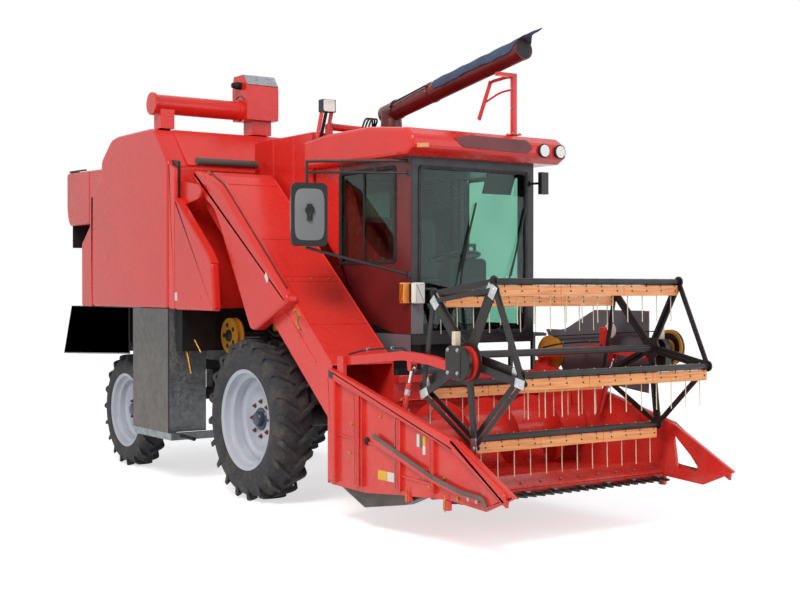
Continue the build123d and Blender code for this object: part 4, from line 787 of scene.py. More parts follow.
# latch handle low on the trough's side
piece("trough_latch", [pipe([(trough_x[0] - 0.012, -0.71, 1.46), (trough_x[0] - 0.04, -0.73, 1.42),
    (trough_x[0] - 0.045, -0.8, 1.36)], 0.03, 0.009, 12), bolts([(trough_x[0], -0.71, 1.46), (trough_x[0], -0.64,
    1.5)], "x", 0.014, 0.012, -1)], brass, 35, body="header")
piece("trough_side_seam", strip([(-0.95, 1.12), (0.2, 2.07)], trough_x[0] - 0.004, trough_x[0] + 0.004, 0.014),
    trough_red, bevel=0.002, body="header")

# ---------------------------------------------------------------- header
end_x = half_width - 0.189


# name, finish, corner radius, inner and outer face from the plate's face, rolled rim, outlines: the thick beam
# along the top edge, the open box-tube post behind, a black patch at its open top that paints the shade inside it,
# the divider's nose, hook tabs below, blank labels
plates = (("plate_beam", header_red, 0.012, -0.004, 0.034, 0.012, [((-1.175, 1.098), (-2.64, 0.724), (-2.64, 0.654),
    (-1.175, 1.028)), ((-2.612, 0.731), (-3.15, 0.448), (-3.15, 0.386), (-2.636, 0.655))]),
    # the black patch at the post's open top is painted shade for the tube's inside
    ("plate_post", header_red, 0.012, -0.004, 0.036, 0.01, [((-1.172, 0.275), (-1.172, 1.04), (-1.262, 1.02),
    (-1.262, 0.295))]), ("post_mouth", black_paint, 0.01, 0.03, 0.0355, 0.002, [((-1.185, 1.035), (-1.185, 1.085),
    (-1.245, 1.07), (-1.245, 1.02))]), ("divider_nose", header_red, 0.012, -0.024, 0.01, 0.008,
    [((-2.93, 0.33), (-3.205, 0.433), (-3.165, 0.455), (-2.66, 0.716), (-2.61, 0.69), (-2.88, 0.46))]),
    ("hook_tabs", header_red, 0.008, -0.02, 0.014, 0.004, [oblong(y, y - 0.05, 0.335, 0.27) for y in (-2.1,
    -2.52)]), *((f"label_{name}", finish, 0.004, -0.0005, 0.0018, 0.0006, [oblong(y, y - wide, z, z + high)])
    for name, finish, y, z, wide, high in (("white", label_white, -2.22, 0.64, 0.03, 0.085), ("dark", dark_panel,
    -2.252, 0.64, 0.028, 0.07), ("yellow", label_yellow, -2.285, 0.655, 0.03, 0.06), ("low_white", label_white,
    -2.285, 0.595, 0.03, 0.058), ("foot_yellow", label_yellow, -1.77, 0.375, 0.105, 0.062),
    ("foot_white", label_white, -1.88, 0.375, 0.09, 0.062))))
standing_ribs = ((-1.545, 0.3, 0.925, 0.04), (-1.6, 0.3, 0.915, 0.02), (-2.045, 0.335, 0.8, 0.036),
    (-2.43, 0.36, 0.7, 0.036))
lying_ribs = ((-1.265, 0.64, -1.99, 0.6), (-2.06, 0.52, -2.44, 0.505), (-2.04, 0.436, -2.6, 0.42))
for side, sign in mirrored:
    at = lambda out: sign * (end_x + out)
    for name, finish, corner, low, high, rim, outlines in plates:
        piece(f"{name}_{side}", [panel(line, corner, at(low), at(high), rim, 4) for line in outlines], finish, 30,
            body="header")
    ribs = [panel([(y, low), (y, high), (y + w, high + w * 0.26), (y + w, low)], 0.006, at(-0.002), at(0.026),
        0.007, 4) for y, low, high, w in standing_ribs]
    ribs += [pressed([(y0, z0), (y1, z1), (y1, z1 - 0.014), (y0, z0 - 0.014)], at(-0.002), at(0.01), 0.003) for y0,
        z0, y1, z1 in lying_ribs]
    piece(f"plate_ribs_{side}", ribs, header_red, 30, body="header")
    places = [(at(0.001), y, z) for y, z in ((-1.42, 0.52), (-1.44, 0.72), (-1.5, 0.72), (-2.3, 0.46),
        (-2.52, 0.47), (-2.36, 0.4), (-1.8, 0.8), (-2.66, 0.36))]
    piece(f"plate_bolts_{side}", bolts(places, "x", 0.01, 0.008, sign), brass, 30, body="header")
    # flat black crop rod bent down the plate's front
    rod = bent([(-1.735, 0.655), (-2.42, 0.452), (-2.7, 0.396), (-2.93, 0.382), (-2.95, 0.34)], 0.06, 7)
    piece(f"crop_rod_{side}", strip(rod, at(0.022), at(0.031), -0.03), dark_panel, bevel=0.002, body="header")
    piece(f"crop_rod_bolts_{side}", bolts([(at(0.031), -2.885, 0.374), (at(0.031), -2.8, 0.378)], "x", 0.008, 0.007,
        sign), bare_steel, 30, body="header")
    wire = [(at(0.012), -1.985, 0.8), (at(0.013), -1.98, 0.74), (at(0.012), -1.99, 0.66), (at(0.013), -1.98, 0.58),
        (at(0.012), -1.985, 0.34)]
    piece(f"plate_wire_{side}", pipe(wire, 0.03, 0.003, 8), galvanised, 40, body="header")
    piece(f"hook_bolts_{side}", [tube([(at(0.016), y, 0.262), (at(0.016), y, 0.37)], 0.004, 10) for y in (-2.125,
        -2.545)], brass, 40, body="header")

# pan: rolled front lip with its bolts, and a ledge behind the auger
inner = end_x - 0.024
lip = bent([(-2.425, 0.428), (-2.5, 0.4), (-2.565, 0.372), (-2.572, 0.362)], 0.02)
piece("pan_lip", strip(lip, -inner, inner, 0.006), header_red, bevel=0.001, body="header")
piece("pan_lip_bolts", bolts([(x, -2.53, 0.393) for x in np.linspace(-inner + 0.08, inner - 0.08, 11)], "z", 0.007,
    0.005), galvanised, 30, body="header")
piece("pan_back_ledge", prism([(-1.2, 0.8), (-1.192, 0.8), (-1.192, 0.83), (-1.23, 0.845), (-1.232, 0.838),
    (-1.2, 0.826)], trough_x[1] + 0.02, inner), header_red, bevel=0.001, body="header")

# knife guards: pointed cast fingers, and holders on the knife
count = 24
pitch = 2 * (inner + 0.0 - 0.039) / (count - 1)
tips = []
s = np.linspace(0, 1, 7)
half = 0.012 * np.sqrt(np.clip(1 - s ** 3, 0, 1)) + 0.0015
for i in range(count):
    x = (i - (count - 1) / 2) * pitch
    ring = np.stack([np.stack([x + u * half, -2.59 - 0.083 * s + axle_y, 0.3215 + v * half * 0.62], -1) for u,
        v in ((-1, -1), (1, -1), (1, 1), (-1, 1))], 1)
    faces = grid_faces(7, 4, close_columns=True).tolist() + [[3, 2, 1, 0], [24, 25, 26, 27]]
    tips.append((ring.reshape(-1, 3), faces))
piece("guard_fingers", tips, black_paint, 40, 0.001, body="header")
piece("knife_holders", [prism([(-2.575, 0.34), (-2.575, 0.346), (-2.62, 0.346), (-2.628, 0.34)], x - 0.014,
    x + 0.014) for x in np.linspace(-inner + 0.1, inner - 0.1, 8)], bare_steel, bevel=0.001, body="header")


# ---------------------------------------------------------------- cross auger
def screw(x0, x1, start, core, rim, pitch_m, thick):
    """Helical blade: its angle grows by one turn for each pitch along x; a four-cornered section from the
    tube to the rim, thick across, is carried along it in steps of 7.5 degrees."""
    turns = abs(x1 - x0) / pitch_m
    a = radians(start) + np.linspace(0, 2 * pi * turns, int(turns * 48) + 1)
    x = np.linspace(x0, x1, len(a))
    rings = np.stack([np.stack([x + dx, r * np.cos(a), r * np.sin(a)], -1) for dx, r in ((0, core), (0, rim),
        (thick, rim), (thick, core))], 1)
    faces = grid_faces(len(a), 4, close_columns=True)[:, ::-1].tolist()
    last = 4 * len(a)
    return rings.reshape(-1, 3), faces + [[0, 1, 2, 3], [last - 1, last - 2, last - 3, last - 4]]


auger_y, auger_z = joint_at("cross_auger_turn")
auger_half = inner - 0.01
blade, blade_faces = screw(trough_x[1] - 0.02, auger_half - 0.008, 0, 0.148, 0.249, 0.42, 0.005)
piece("auger_flight", (blade + [0, auger_y + axle_y, auger_z], blade_faces), header_red, 40, body="cross_auger")
drum = piece("auger_drum", turned([(-auger_half, 0), (-auger_half, 0.146), (-auger_half + 0.004, 0.15),
    (auger_half - 0.004, 0.15), (auger_half, 0.146), (auger_half, 0)], (0, auger_y, auger_z), "x", 96), header_red,
    40, body="cross_auger")
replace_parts(drum, "header_auger")
fingers = []
for i in range(6):
    x = trough_x[0] + 0.125 + i * 0.065
    for turn in (0, 180):
        a = radians(turn + i * 60)
        way = np.array([0, cos(a), sin(a)])
        centre = np.array([x, auger_y, auger_z])
        fingers.append(tube([centre + way * 0.14, centre + way * 0.244, centre + way * 0.249],
            [0.008, 0.008, 0.004], 12))
        fingers.append(tube([centre + way * 0.146, centre + way * 0.156], [0.022, 0.02], 16))
piece("auger_fingers", fingers, bare_steel, 40, body="cross_auger")
piece("auger_stubs", [turned([(0, 0), (0, 0.026), (0.046, 0.026), (0.048, 0.022), (0.048, 0)],
    (s * (auger_half - 0.001), auger_y, auger_z), "x", 32, s) for s in (1, -1)], cast_black, 40, body="cross_auger")

# ---------------------------------------------------------------- reel
bats = [joint_at(f"bat_{i}_pivot") for i in range(1, 6)]
reel_y, reel_z = joint_at("reel_turn")
ecc_y, ecc_z = joint_at("eccentric_turn")
ecc_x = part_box("reel_eccentric")[0][0]
spider_x = end_x - 0.143
crank = np.array([-0.055, -0.05])


def towards(start, end):
    """Unit (y, z) direction from one point to another, and the direction square to it."""
    way = np.asarray(end, float) - start
    way /= np.hypot(*way)
    return way, np.array([-way[1], way[0]])


def clamp(pivot, hub, ahead, back, front_half, back_half, x0, x1):
    """Flat clamp on a spoke: a trapezium round the point a distance ahead of the pivot on its way to the hub."""
    way, across = towards(pivot, hub)
    c = pivot + way * ahead
    return prism([c - way * back - across * back_half, c + way * 0.03 - across * front_half,
        c + way * 0.03 + across * front_half, c - way * back + across * back_half], x0, x1)


tine_count = 12
for i, (y, z) in enumerate(bats, 1):
    body, ends, half = f"bat_{i}", spider_x + 0.008, spider_x - 0.022
    rod = [(-ends - 0.004, 0), (-ends - 0.004, 0.0195), (-ends, 0.021), (ends, 0.021), (ends + 0.004, 0.0195),
        (ends + 0.004, 0)]
    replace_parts(piece(f"bat_pipe_{i}", turned(rod, (0, y, z), "x", 32), reel_black, 40, body=body), f"reel_bat_{i}")
    planks = [prism([(y - 0.009, z - 0.093 + dz), (y - 0.009, z - 0.024), (y + 0.009, z - 0.024),
        (y + 0.009, z - 0.093 + dz)], x0, x1) for x0, x1, dz in ((-half, -half * 0.34, 0.0), (-half * 0.34 + 0.003,
        half * 0.36, 0.001), (half * 0.36 + 0.003, half, 0.0))]
    piece(f"bat_board_{i}", planks, board, bevel=0.0025, body=body)
    wires, clips = [], []
    for k in range(tine_count):
        x = (k - (tine_count - 1) / 2) * 2 * (half - 0.045) / (tine_count - 1)
        wires.append(pipe([(x + dx, y + dy, z + dz) for dx, dy, dz in ((-0.012, 0.004, 0.022),
            (-0.004, 0.022, 0.012), (0, 0.0225, -0.02), (0, 0.0145, -0.05), (0, 0.013, -0.17), (0, 0.01, -0.268))],
            0.02, 0.0032, 8, 4))
        clips.append(pipe([(x + 0.012, y + dy, z + dz) for dy, dz in ((-0.012, -0.035), (-0.02, 0.002), (0, 0.0225),
            (0.02, 0.002), (0.012, -0.035))], 0.014, 0.0022, 8))
        clips.append(turned([(0, 0), (0, 0.006), (0.003, 0.005), (0.003, 0)], (x + 0.02, y - 0.009, z - 0.06), "y",
            10, -1))
    piece(f"bat_tines_{i}", wires, cream_tine, 50, body=body)
    piece(f"bat_clips_{i}", clips, cast_black, 50, body=body)
    # crank to the eccentric ring, on the right
    pivot, pin = np.array([y, z]), np.array([y, z]) + crank
    way, across = towards(pivot, pin)
    a, b = pivot - way * 0.018, pin + way * 0.016
    outline = [a + across * 0.018, b + across * 0.014, b - across * 0.014, a - across * 0.018]
    piece(f"bat_crank_{i}", [prism(soft_outline(outline, 0.012, 4), -spider_x - 0.0165, -spider_x - 0.0075),
        turned([(0, 0), (0, 0.009), (0.034, 0.009), (0.034, 0)], (-spider_x - 0.01, *pin), "x", 20, -1)],
        cast_black, 30, 0.001, body=body)

# silver clamps on the spiders' and the eccentric's points, hub plates and spoke ribs
hub_at = np.array([reel_y, reel_z])
for side, sign in mirrored:
    x = sign * spider_x
    piece(f"spider_clamps_{side}", [clamp(p, hub_at, 0.052, 0.03, 0.03, 0.032, x + sign * 0.0003, x + sign * 0.0045)
        for p in bats], clamp_silver, bevel=0.0015, body="reel")
    hub = turned([(-0.012, 0.026), (-0.012, 0.075), (0.004, 0.075), (0.007, 0.068), (0.007, 0.026)],
        (x, reel_y, reel_z), "x", 40, sign)
    around = [(x + sign * 0.006, reel_y + 0.052 * cos(a), reel_z + 0.052 * sin(a)) for a in np.arange(5) * 2 * pi
        / 5]
    piece(f"spider_hub_{side}", [hub, bolts(around, "x", 0.008, 0.007, sign)], reel_black, 35, body="reel")
    ribs = []
    for p in bats:
        way, across = towards(hub_at, p)
        ribs.append(bar((x - sign * 0.02, *(hub_at + way * 0.09)), (x - sign * 0.02, *(p - way * 0.1)), 0.022,
            0.006, up=(0, *across)))
    piece(f"spider_ribs_{side}", ribs, reel_black, bevel=0.001, body="reel")
ends = []
for p in bats:
    ends.append(clamp(p + crank, (ecc_y, ecc_z), 0.03, 0.055, 0.028, 0.03, ecc_x - 0.0003, ecc_x - 0.0035))
    ends.append(turned([(0, 0), (0, 0.012), (0.006, 0.01), (0.006, 0)], (ecc_x - 0.0033, *(p + crank)), "x", 6, -1))
piece("eccentric_clamps", ends, clamp_silver, bevel=0.001, body="eccentric")


# reel arms: black bearing brackets, wood blocks, hoses, the disc of the eccentric and the belt drive
arm_in = end_x - 0.056
arm_foot = (-1.29, 1.15)
# name, finish, slot, corner radius, faces from the arm's middle, rolled rim, (y, z) outline round the reel's shaft
arm_plates = (("reel_bracket", reel_black, None, 0.015, -0.027, 0.033, 0.005, [(0.075, -0.145), (0.08, 0.03),
    (0.045, 0.062), (-0.045, 0.062), (-0.08, 0.02), (-0.075, -0.145)]), ("reel_block", cream_tine, "bat_wood",
    0.005, -0.016, 0.026, 0.004, oblong(0.018, -0.018, 0.06, 0.15)))
for side, sign in mirrored:
    at = lambda out: sign * (arm_in + out)
    for name, finish, slot, corner, low, high, rim, outline in arm_plates:
        piece(f"{name}_{side}", panel([(reel_y + u, reel_z + v) for u, v in outline], corner, at(low), at(high),
            rim, 4), finish, 30, body="reel_lift_arms")
    places = [(at(0.033), reel_y + u, reel_z + v) for u, v in ((0.05, 0.035), (-0.05, 0.035), (0.05, -0.11),
        (-0.05, -0.11))]
    piece(f"reel_bracket_bolts_{side}", bolts(places, "x", 0.009, 0.008, sign), bare_steel, 30,
        body="reel_lift_arms")
    hose = [(at(0), -1.32, 1.2), (at(0), -1.5, 1.235), (at(0), -1.8, 1.262), (at(0), -2.0, 1.268),
        (at(-0.03), -2.06, 1.2), (at(-0.034), -2.05, 1.1)]
    piece(f"arm_hose_{side}", pipe(hose, 0.08, 0.007, 10, 6), sheet_rubber, 50, body="reel_lift_arms")
    piece(f"arm_clips_{side}", [turned([(-0.008, 0.0075), (-0.008, 0.0105), (0.008, 0.0105), (0.008, 0.0075)],
        (at(0), y, z), "y", 16) for y, z in ((-1.56, 1.243), (-1.86, 1.264))], bare_steel, 40,
        body="reel_lift_arms")
    # silver band and brass union on the reel's lift cylinder
    base = np.array([-1.96, 0.74])
    way, _ = towards(base, (-2.088, 1.14))
    piece(f"cylinder_band_{side}", tube([(at(0), *(base + way * run)) for run in (0.235, 0.275)], 0.0225, 24),
        bare_steel, 40, body="reel_cylinder")
    piece(f"cylinder_union_{side}", tube([(at(out), *(base + way * 0.2)) for out in (0.014, 0.04)], 0.008, 6),
        brass, 30, body="reel_cylinder")

arm_face = -arm_in - 0.025
disc = [(-0.0008, 0.026), (-0.0008, 0.1085), (0.0016, 0.1085), (0.003, 0.1), (0.003, 0.026)]
piece("eccentric_disc_face", turned(disc, (arm_face, ecc_y, ecc_z), "x", 64, -1), reel_black, 30,
    body="reel_lift_arms")
piece("eccentric_disc_band", turned([(0.0, 0.1092), (0.0, 0.1104), (0.018, 0.1104), (0.018, 0.1092)],
    (arm_face, ecc_y, ecc_z), "x", 64), reel_black, 30, body="reel_lift_arms")

# belt drive on the left: amber pulleys, belt, grey shield, tensioner
jack_x = middle("jack_pulley", 0)


def pulley_skin(radius, centre):
    """Turned belt pulley: two lips, the groove between them, and a dished web on both faces."""
    return turned([(-0.0152, 0.03), (-0.0156, 0.055), (-0.011, 0.062), (-0.011, radius - 0.03),
        (-0.0156, radius - 0.022), (-0.0156, radius + 0.0006), (-0.0084, radius + 0.0006),
        (-0.0062, radius - 0.012), (0.0062, radius - 0.012), (0.0084, radius + 0.0006), (0.0156, radius + 0.0006),
        (0.0156, radius - 0.022), (0.015, radius - 0.028), (0.015, 0.062), (0.0156, 0.055), (0.0152, 0.03)], centre,
        "x", 72)


piece("reel_pulley_face", pulley_skin(0.126, (jack_x, reel_y, reel_z)), amber_paint, 35, body="reel")
holes = [turned([(0, 0), (0, 0.022), (0.0012, 0.022), (0.0012, 0)], (jack_x + 0.015, arm_foot[0] + 0.085 * cos(a),
    arm_foot[1] + 0.085 * sin(a)), "x", 20) for a in np.arange(5) * 2 * pi / 5]
piece("jack_pulley_holes", holes, cast_black, 35, body="reel_jack")
shield = [(-1.2, 1.34), (-1.42, 1.34), (-1.76, 1.5), (-2.33, 1.5), (-2.33, 0.9), (-1.42, 1.0)]
piece("belt_shield_face", pressed(inset(soft_outline(shield, 0.05), -0.001), jack_x + 0.0312, jack_x + 0.039,
    0.002), grey_shield, 30, body="reel_lift_arms")
piece("belt_shield_bolts", bolts([(jack_x + 0.0385, y, z) for y, z in ((-1.7, 1.2), (-2.2, 1.215), (-1.35, 1.28),
    (-2.25, 1.44), (-1.8, 1.43))], "x", 0.011, 0.008), galvanised, 30, body="reel_lift_arms")


def belt_loop(first, r1, second, r2, x, wide, thick):
    """V belt round two pulleys: two arcs joined by the outer tangents, with a trapezium section."""
    a, b = np.asarray(first, float), np.asarray(second, float)
    d = b - a
    base = atan2(d[1], d[0])
    turn = np.arccos((r1 - r2) / np.hypot(*d))
    one = base + np.linspace(turn, 2 * pi - turn, 30)
    two = base + np.linspace(-turn, turn, 30)
    path = np.concatenate([np.column_stack([a[0] + r1 * np.cos(one), a[1] + r1 * np.sin(one)]),
        np.column_stack([b[0] + r2 * np.cos(two), b[1] + r2 * np.sin(two)])])
    outline = counterclockwise(path)
    inner_line = inset(outline, thick)
    n = len(outline)
    rings = [np.column_stack([np.full(n, x + dx), line + [axle_y, 0]]) for dx, line in ((-wide / 2, outline),
        (wide / 2, outline), (wide * 0.36, inner_line), (-wide * 0.36, inner_line))]
    return np.concatenate(rings), grid_faces(4, n, close_rows=True, close_columns=True).tolist()


piece("reel_belt", belt_loop(arm_foot, 0.1375, (reel_y, reel_z), 0.1235, jack_x, 0.0125, 0.008), sheet_rubber, 40,
    body="reel_lift_arms")
tension = turned([(0, 0), (0, 0.055), (0.004, 0.058), (0.01, 0.058), (0.012, 0.052), (0.012, 0.02), (0.016, 0.014),
    (0.016, 0)], (arm_in + 0.038, -2.02, 1.352), "x", 40)
piece("tension_wheel", tension, label_white, 35, body="reel_lift_arms")
piece("tension_bracket", [bar((arm_in, -2.0, 1.2), (arm_in, -2.0, 1.375), 0.05, 0.04, (0, 1, 0)),
    bar((arm_in - 0.02, -2.01, 1.352), (arm_in + 0.036, -2.01, 1.352), 0.04, 0.03)], header_red, bevel=0.003,
    body="reel_lift_arms")

# ---------------------------------------------------------------- cab
cab_right, cab_left = trough_x[1] + 0.068, half_width - 0.331
cab_front = -1.3


def seal(outline, wide, deep, place):
    """Rubber glazing strip: a rounded outline and its inset copy, standing deep out from the pane; place turns a
    (first, second) outline and a height over the pane into points."""
    line = counterclockwise(outline)
    rings = [place(p, d) for d, p in ((0, line), (deep, inset(line, 0.003)), (deep, inset(line, wide - 0.003)),
        (0, inset(line, wide)))]
    return np.concatenate(rings), grid_faces(4, len(line), close_rows=True, close_columns=True)


def window_seal(y0, y1, z0, z1, x, wide, sign):
    """Glazing strip round a side window."""
    points, faces = seal(soft_outline(oblong(y0, y1, z0, z1)[::-1], 0.05), wide, 0.006, lambda p,
        d: np.column_stack([np.full(len(p), x + sign * d), p + [axle_y, 0]]))
    return points, (faces if sign > 0 else faces[:, ::-1]).tolist()


# red side sheet of the cab above its slanted edge, in four strips round the window
x = cab_right
rear_edge = [(0.036, 2.628), (0.036, 2.38), (-0.04, 2.17), (-0.18, 1.99)]
strips = [rear_edge + [(-0.33, 1.88), (-0.33, 2.628)], [(-1.1, 2.628), (-1.1, 1.33), (-1.298, 1.33),
    (-1.298, 2.628)], [(-0.33, 2.628), (-0.33, 2.57), (-1.1, 2.57), (-1.1, 2.628)], [(-0.33, 1.86), (-0.352, 1.86),
    (-0.352, 1.6), (-0.62, 1.42), (-1.1, 1.33), (-1.1, 1.86)]]
piece("cab_side_sheet", [prism(p, x - 0.0035, x + 0.001) for p in strips], maroon, bevel=0.0005)
piece("cab_side_upper", prism([(0.036, 2.628), (0.036, 2.385), (-0.04, 2.175), (-0.18, 1.995), (-0.322, 1.888),
    (-0.322, 2.628)], x - 0.005, x - 0.003), red, bevel=0.0005)
piece("side_window_seal", window_seal(-1.112, -0.318, 1.848, 2.582, x - 0.0045, 0.03, -1), sheet_rubber, 40)
piece("side_window_bar", prism(oblong(-0.655, -0.675, 1.86, 2.57), x, x + 0.006), sheet_rubber, bevel=0.001)
# cream-red inner trim and pull cord seen through the side window
piece("cab_inner_trim", prism(soft_outline([(-0.36, 2.5), (-0.46, 2.42), (-0.6, 2.06), (-0.8, 1.92), (-0.86, 1.88),
    (-0.38, 1.88)], 0.06), x + 0.045, x + 0.052), red, bevel=0.002)
piece("cab_inner_cable", pipe([(x + 0.056, -0.4, 2.42), (x + 0.058, -0.47, 2.34), (x + 0.058, -0.6, 2.05),
    (x + 0.056, -0.72, 1.9)], 0.1, 0.004, 8), sheet_rubber, 50)

# windscreen rubber, wipers, black posts, console and interior
screen = soft_outline([(cab_right + 0.058, 1.321), (cab_left - 0.058, 1.321), (cab_left - 0.058, 2.574),
    (cab_right + 0.058, 2.574)], 0.07)
points, faces = seal(screen, 0.03, 0.016, lambda p,
    d: np.column_stack([p[:, 0], np.full(len(p), cab_front + 0.01 + axle_y - d), p[:, 1]]))
piece("windscreen_seal", (points, faces.tolist()), sheet_rubber, 40)
wipers = []
for x0, tip_x, tip_z in ((0.02, 0.17, 2.05), (0.46, 0.66, 2.02)):
    arm = [(x0, cab_front - 0.02, 1.345), (x0 + 0.02, cab_front - 0.028, 1.42), ((x0 + tip_x) / 2,
        cab_front - 0.018, 1.75), (tip_x, cab_front - 0.01, tip_z)]
    wipers += [pipe(arm, 0.05, 0.006, 10), turned([(0, 0), (0, 0.02), (0.014, 0.018), (0.014, 0)],
        (x0, cab_front - 0.014, 1.345), "y", 20, -1), bar((tip_x - 0.075, cab_front - 0.004, tip_z - 0.26),
        (tip_x + 0.075, cab_front - 0.004, tip_z + 0.26), 0.012, 0.01, (0, 1, 0))]
piece("wipers", wipers, sheet_rubber, 40)
piece("cab_console", panel([(-1.0, 1.301), (-0.4, 1.301), (-0.4, 1.86), (-0.52, 1.92), (-0.92, 1.84), (-1.0, 1.74)],
    0.04, cab_right + 0.05, cab_right + 0.26, 0.025), shell_grey, 30)
levers = []
for x0, y0 in ((cab_right + 0.1, -0.7), (cab_right + 0.15, -0.78), (cab_right + 0.2, -0.7)):
    levers.append(tube([(x0, y0, 1.86), (x0, y0 - 0.03, 2.02)], 0.006, 10))
    levers.append(turned([(-0.022, 0), (-0.02, 0.012), (-0.008, 0.019), (0.008, 0.019), (0.02, 0.012), (0.022, 0)],
        (x0, y0 - 0.032, 2.035), "z", 20))
piece("console_levers", levers, sheet_rubber, 50)
piece("dash_panel", panel([(-1.22, 1.301), (-1.1, 1.301), (-1.06, 1.78), (-1.16, 1.9), (-1.22, 1.88)], 0.03, 0.06,
    0.42, 0.02), sheet_rubber, 30)
gauges = [turned([(0, 0), (0, 0.03), (0.006, 0.032), (0.01, 0.028), (0.01, 0)], (x0, -1.075, 1.84), "y", 28) for x0
    in (0.14, 0.24, 0.34)]
piece("dash_gauges", gauges, label_white, 35)
piece("cab_rear_posts", [box(x0, x0 + 0.05, -0.42, -0.36, 1.301, 2.57) for x0 in (0.1, 0.7)], sheet_rubber,
    bevel=0.006)
piece("sun_visor", prism(soft_outline([(-1.235, 2.575), (-1.215, 2.575), (-1.15, 2.4), (-1.165, 2.395)], 0.008),
    0.42, 0.7), sheet_rubber, bevel=0.004)

# corner lamps: amber turn lens and clear work lens in a housing
lens_x = cab_right
piece("corner_lamp_amber", panel([(-1.3, 1.552), (-1.3, 1.708), (-1.232, 1.708), (-1.232, 1.552)], 0.012,
    lens_x - 0.004, lens_x - 0.066, 0.012), amber_lens, 30)


def front_panel(points, y0, y1, edge):
    """Pressed panel that faces forwards: an (x, z) outline carried from y0 to y1 with a rolled rim."""
    shape, faces = pressed([(-p[0], p[1]) for p in points], y0, y1, edge)
    turned_points = np.column_stack([-(shape[:, 1] - axle_y), shape[:, 0] + axle_y, shape[:, 2]])
    return turned_points, faces


piece("corner_lamp_clear", front_panel(soft_outline([(lens_x - 0.022, 1.552), (lens_x + 0.072, 1.552),
    (lens_x + 0.072, 1.708), (lens_x - 0.022, 1.708)], 0.014), -1.33, -1.376, 0.012), clear_lens, 30)
piece("door_handle", pipe([(cab_left + 0.036, -1.1, 1.7), (cab_left + 0.062, -1.1, 1.7), (cab_left + 0.062, -1.1,
    1.86), (cab_left + 0.036, -1.1, 1.86)], 0.02, 0.009, 12), shell_grey, 40, body="side_door")
door_seal_x = cab_left + 0.034
piece("door_seal", window_seal(-1.14, -0.412, 1.36, 2.57, door_seal_x, 0.026, 1), sheet_rubber, 40,
    body="side_door")
piece("cab_corner_plate", box(cab_right - 0.006, cab_right + 0.1, -1.312, -1.302, 1.33, 1.55), grey_shield,
    bevel=0.002)
piece("cab_skirt_plate", box(cab_right - 0.008, cab_right - 0.001, -1.295, -0.7, 1.135, 1.325), grey_shield,
    bevel=0.002)

# roof: a flat dark red patch that paints the shade of a lamp recess, two round lamps, marker
recess = [(-0.02, 2.7), (0.6, 2.69), (0.66, 2.735), (0.6, 2.79), (0.05, 2.795), (-0.1, 2.765)]
piece("roof_recess", front_panel(soft_outline(recess, 0.02), -1.476, -1.4835, 0.003), maroon, 30)
for i, x0 in enumerate((cab_left - 0.059, cab_left + 0.101)):
    shell_line = [(0, 0), (0, 0.052), (0.01, 0.056), (0.02, 0.054), (0.024, 0.047), (0.024, 0)]
    piece(f"roof_lamp_shell_{i + 1}", turned(shell_line, (x0, -1.4805, 2.72), "y", 40, -1), sheet_rubber, 35)
    glass_line = [(0.0235, 0), (0.0235, 0.046), (0.0245, 0.046), (0.0255, 0.036), (0.0258, 0)]
    piece(f"roof_lamp_lens_{i + 1}", turned(glass_line, (x0, -1.48, 2.72), "y", 40, -1), clear_lens, 35)
piece("roof_marker", front_panel(soft_outline([(-0.435, 2.672), (-0.33, 2.68), (-0.33, 2.715), (-0.435, 2.706)],
    0.012), -1.478, -1.492, 0.005), amber_lens, 30)


# ---------------------------------------------------------------- unloading auger, canvas and its stay
unload_x, unload_y = 0.5, 0.2
rise = radians(9.2)
way = np.array([0, -cos(rise), sin(rise)])
start = np.array([unload_x, unload_y, 3.18])
ring_at = [start + way * s for s in (0.1, 0.62)]
piece("unloader_rings", [tube([c - way * 0.01, c + way * 0.01], 0.0865, 40) for c in ring_at], maroon, 40,
    body="unloader")
piece("unloader_ring_bolts", [turned([(0, 0), (0, 0.01), (0.006, 0.008), (0.006, 0)], (unload_x - 0.0865, c[1],
    c[2]), "x", 12, -1) for c in ring_at], galvanised, 40, body="unloader")
piece("unloader_elbow", turned([(0.0, 0.0), (0.0, 0.094), (0.03, 0.094), (0.12, 0.088), (0.17, 0.076),
    (0.205, 0.05), (0.215, 0.0)], (unload_x, unload_y, 3.028), "z", 48), maroon, 40, body="unloader")
piece("unloader_turntable", turned([(0, 0), (0, 0.108), (0.014, 0.11), (0.022, 0.104), (0.024, 0.098), (0.024, 0)],
    (unload_x, unload_y, 2.942), "z", 48), cast_black, 40)
piece("turntable_bolts", bolts([(unload_x + 0.102 * cos(a), unload_y + 0.102 * sin(a), 2.966) for a in np.arange(8)
    * pi / 4], "z", 0.007, 0.006), galvanised, 30)


def spout_cloth(s0, s1, rows, columns):
    """Canvas laid over the auger tube: along it (u) and across its top (v from -1 to 1). A point lies at the
    angle v * half_angle from the top, where half_angle is 98 degrees, then narrows by a smooth step to a
    stiff tail past the mouth; small sines of u and v make creases and a wavy hem."""
    s = np.linspace(s0, s1, rows)[:, None]
    v = np.linspace(-1, 1, columns)[None, :]
    share = np.clip((s - 1.7) / 0.18, 0, 1)
    half_angle = radians(98) * (1 - share ** 2 * (3 - 2 * share) * 0.8) * (1 - 0.72 * np.clip((s - 1.8) / 0.2, 0,
        1) ** 2)
    half_angle = half_angle * (1 + 0.03 * np.sin(9 * s) + 0.015 * np.sin(31 * s))
    angle = v * half_angle
    lift = 0.084 + 0.0022 * (1 + np.sin(26 * s + 3 * v)) + 0.0016 * (1 + np.sin(47 * s - 5 * v)) * np.abs(v)
    side = np.array([0, sin(rise), cos(rise)])
    run = s - 0.05 * np.abs(v) ** 3 * (s - s0 < 0.2) * (0.2 - (s - s0)) / 0.2 * -1
    return (start + [0, axle_y, 0] + run[..., None] * way + (lift * np.sin(angle))[..., None] * np.array([1.0, 0,
        0]) + (lift * np.cos(angle))[..., None] * side)


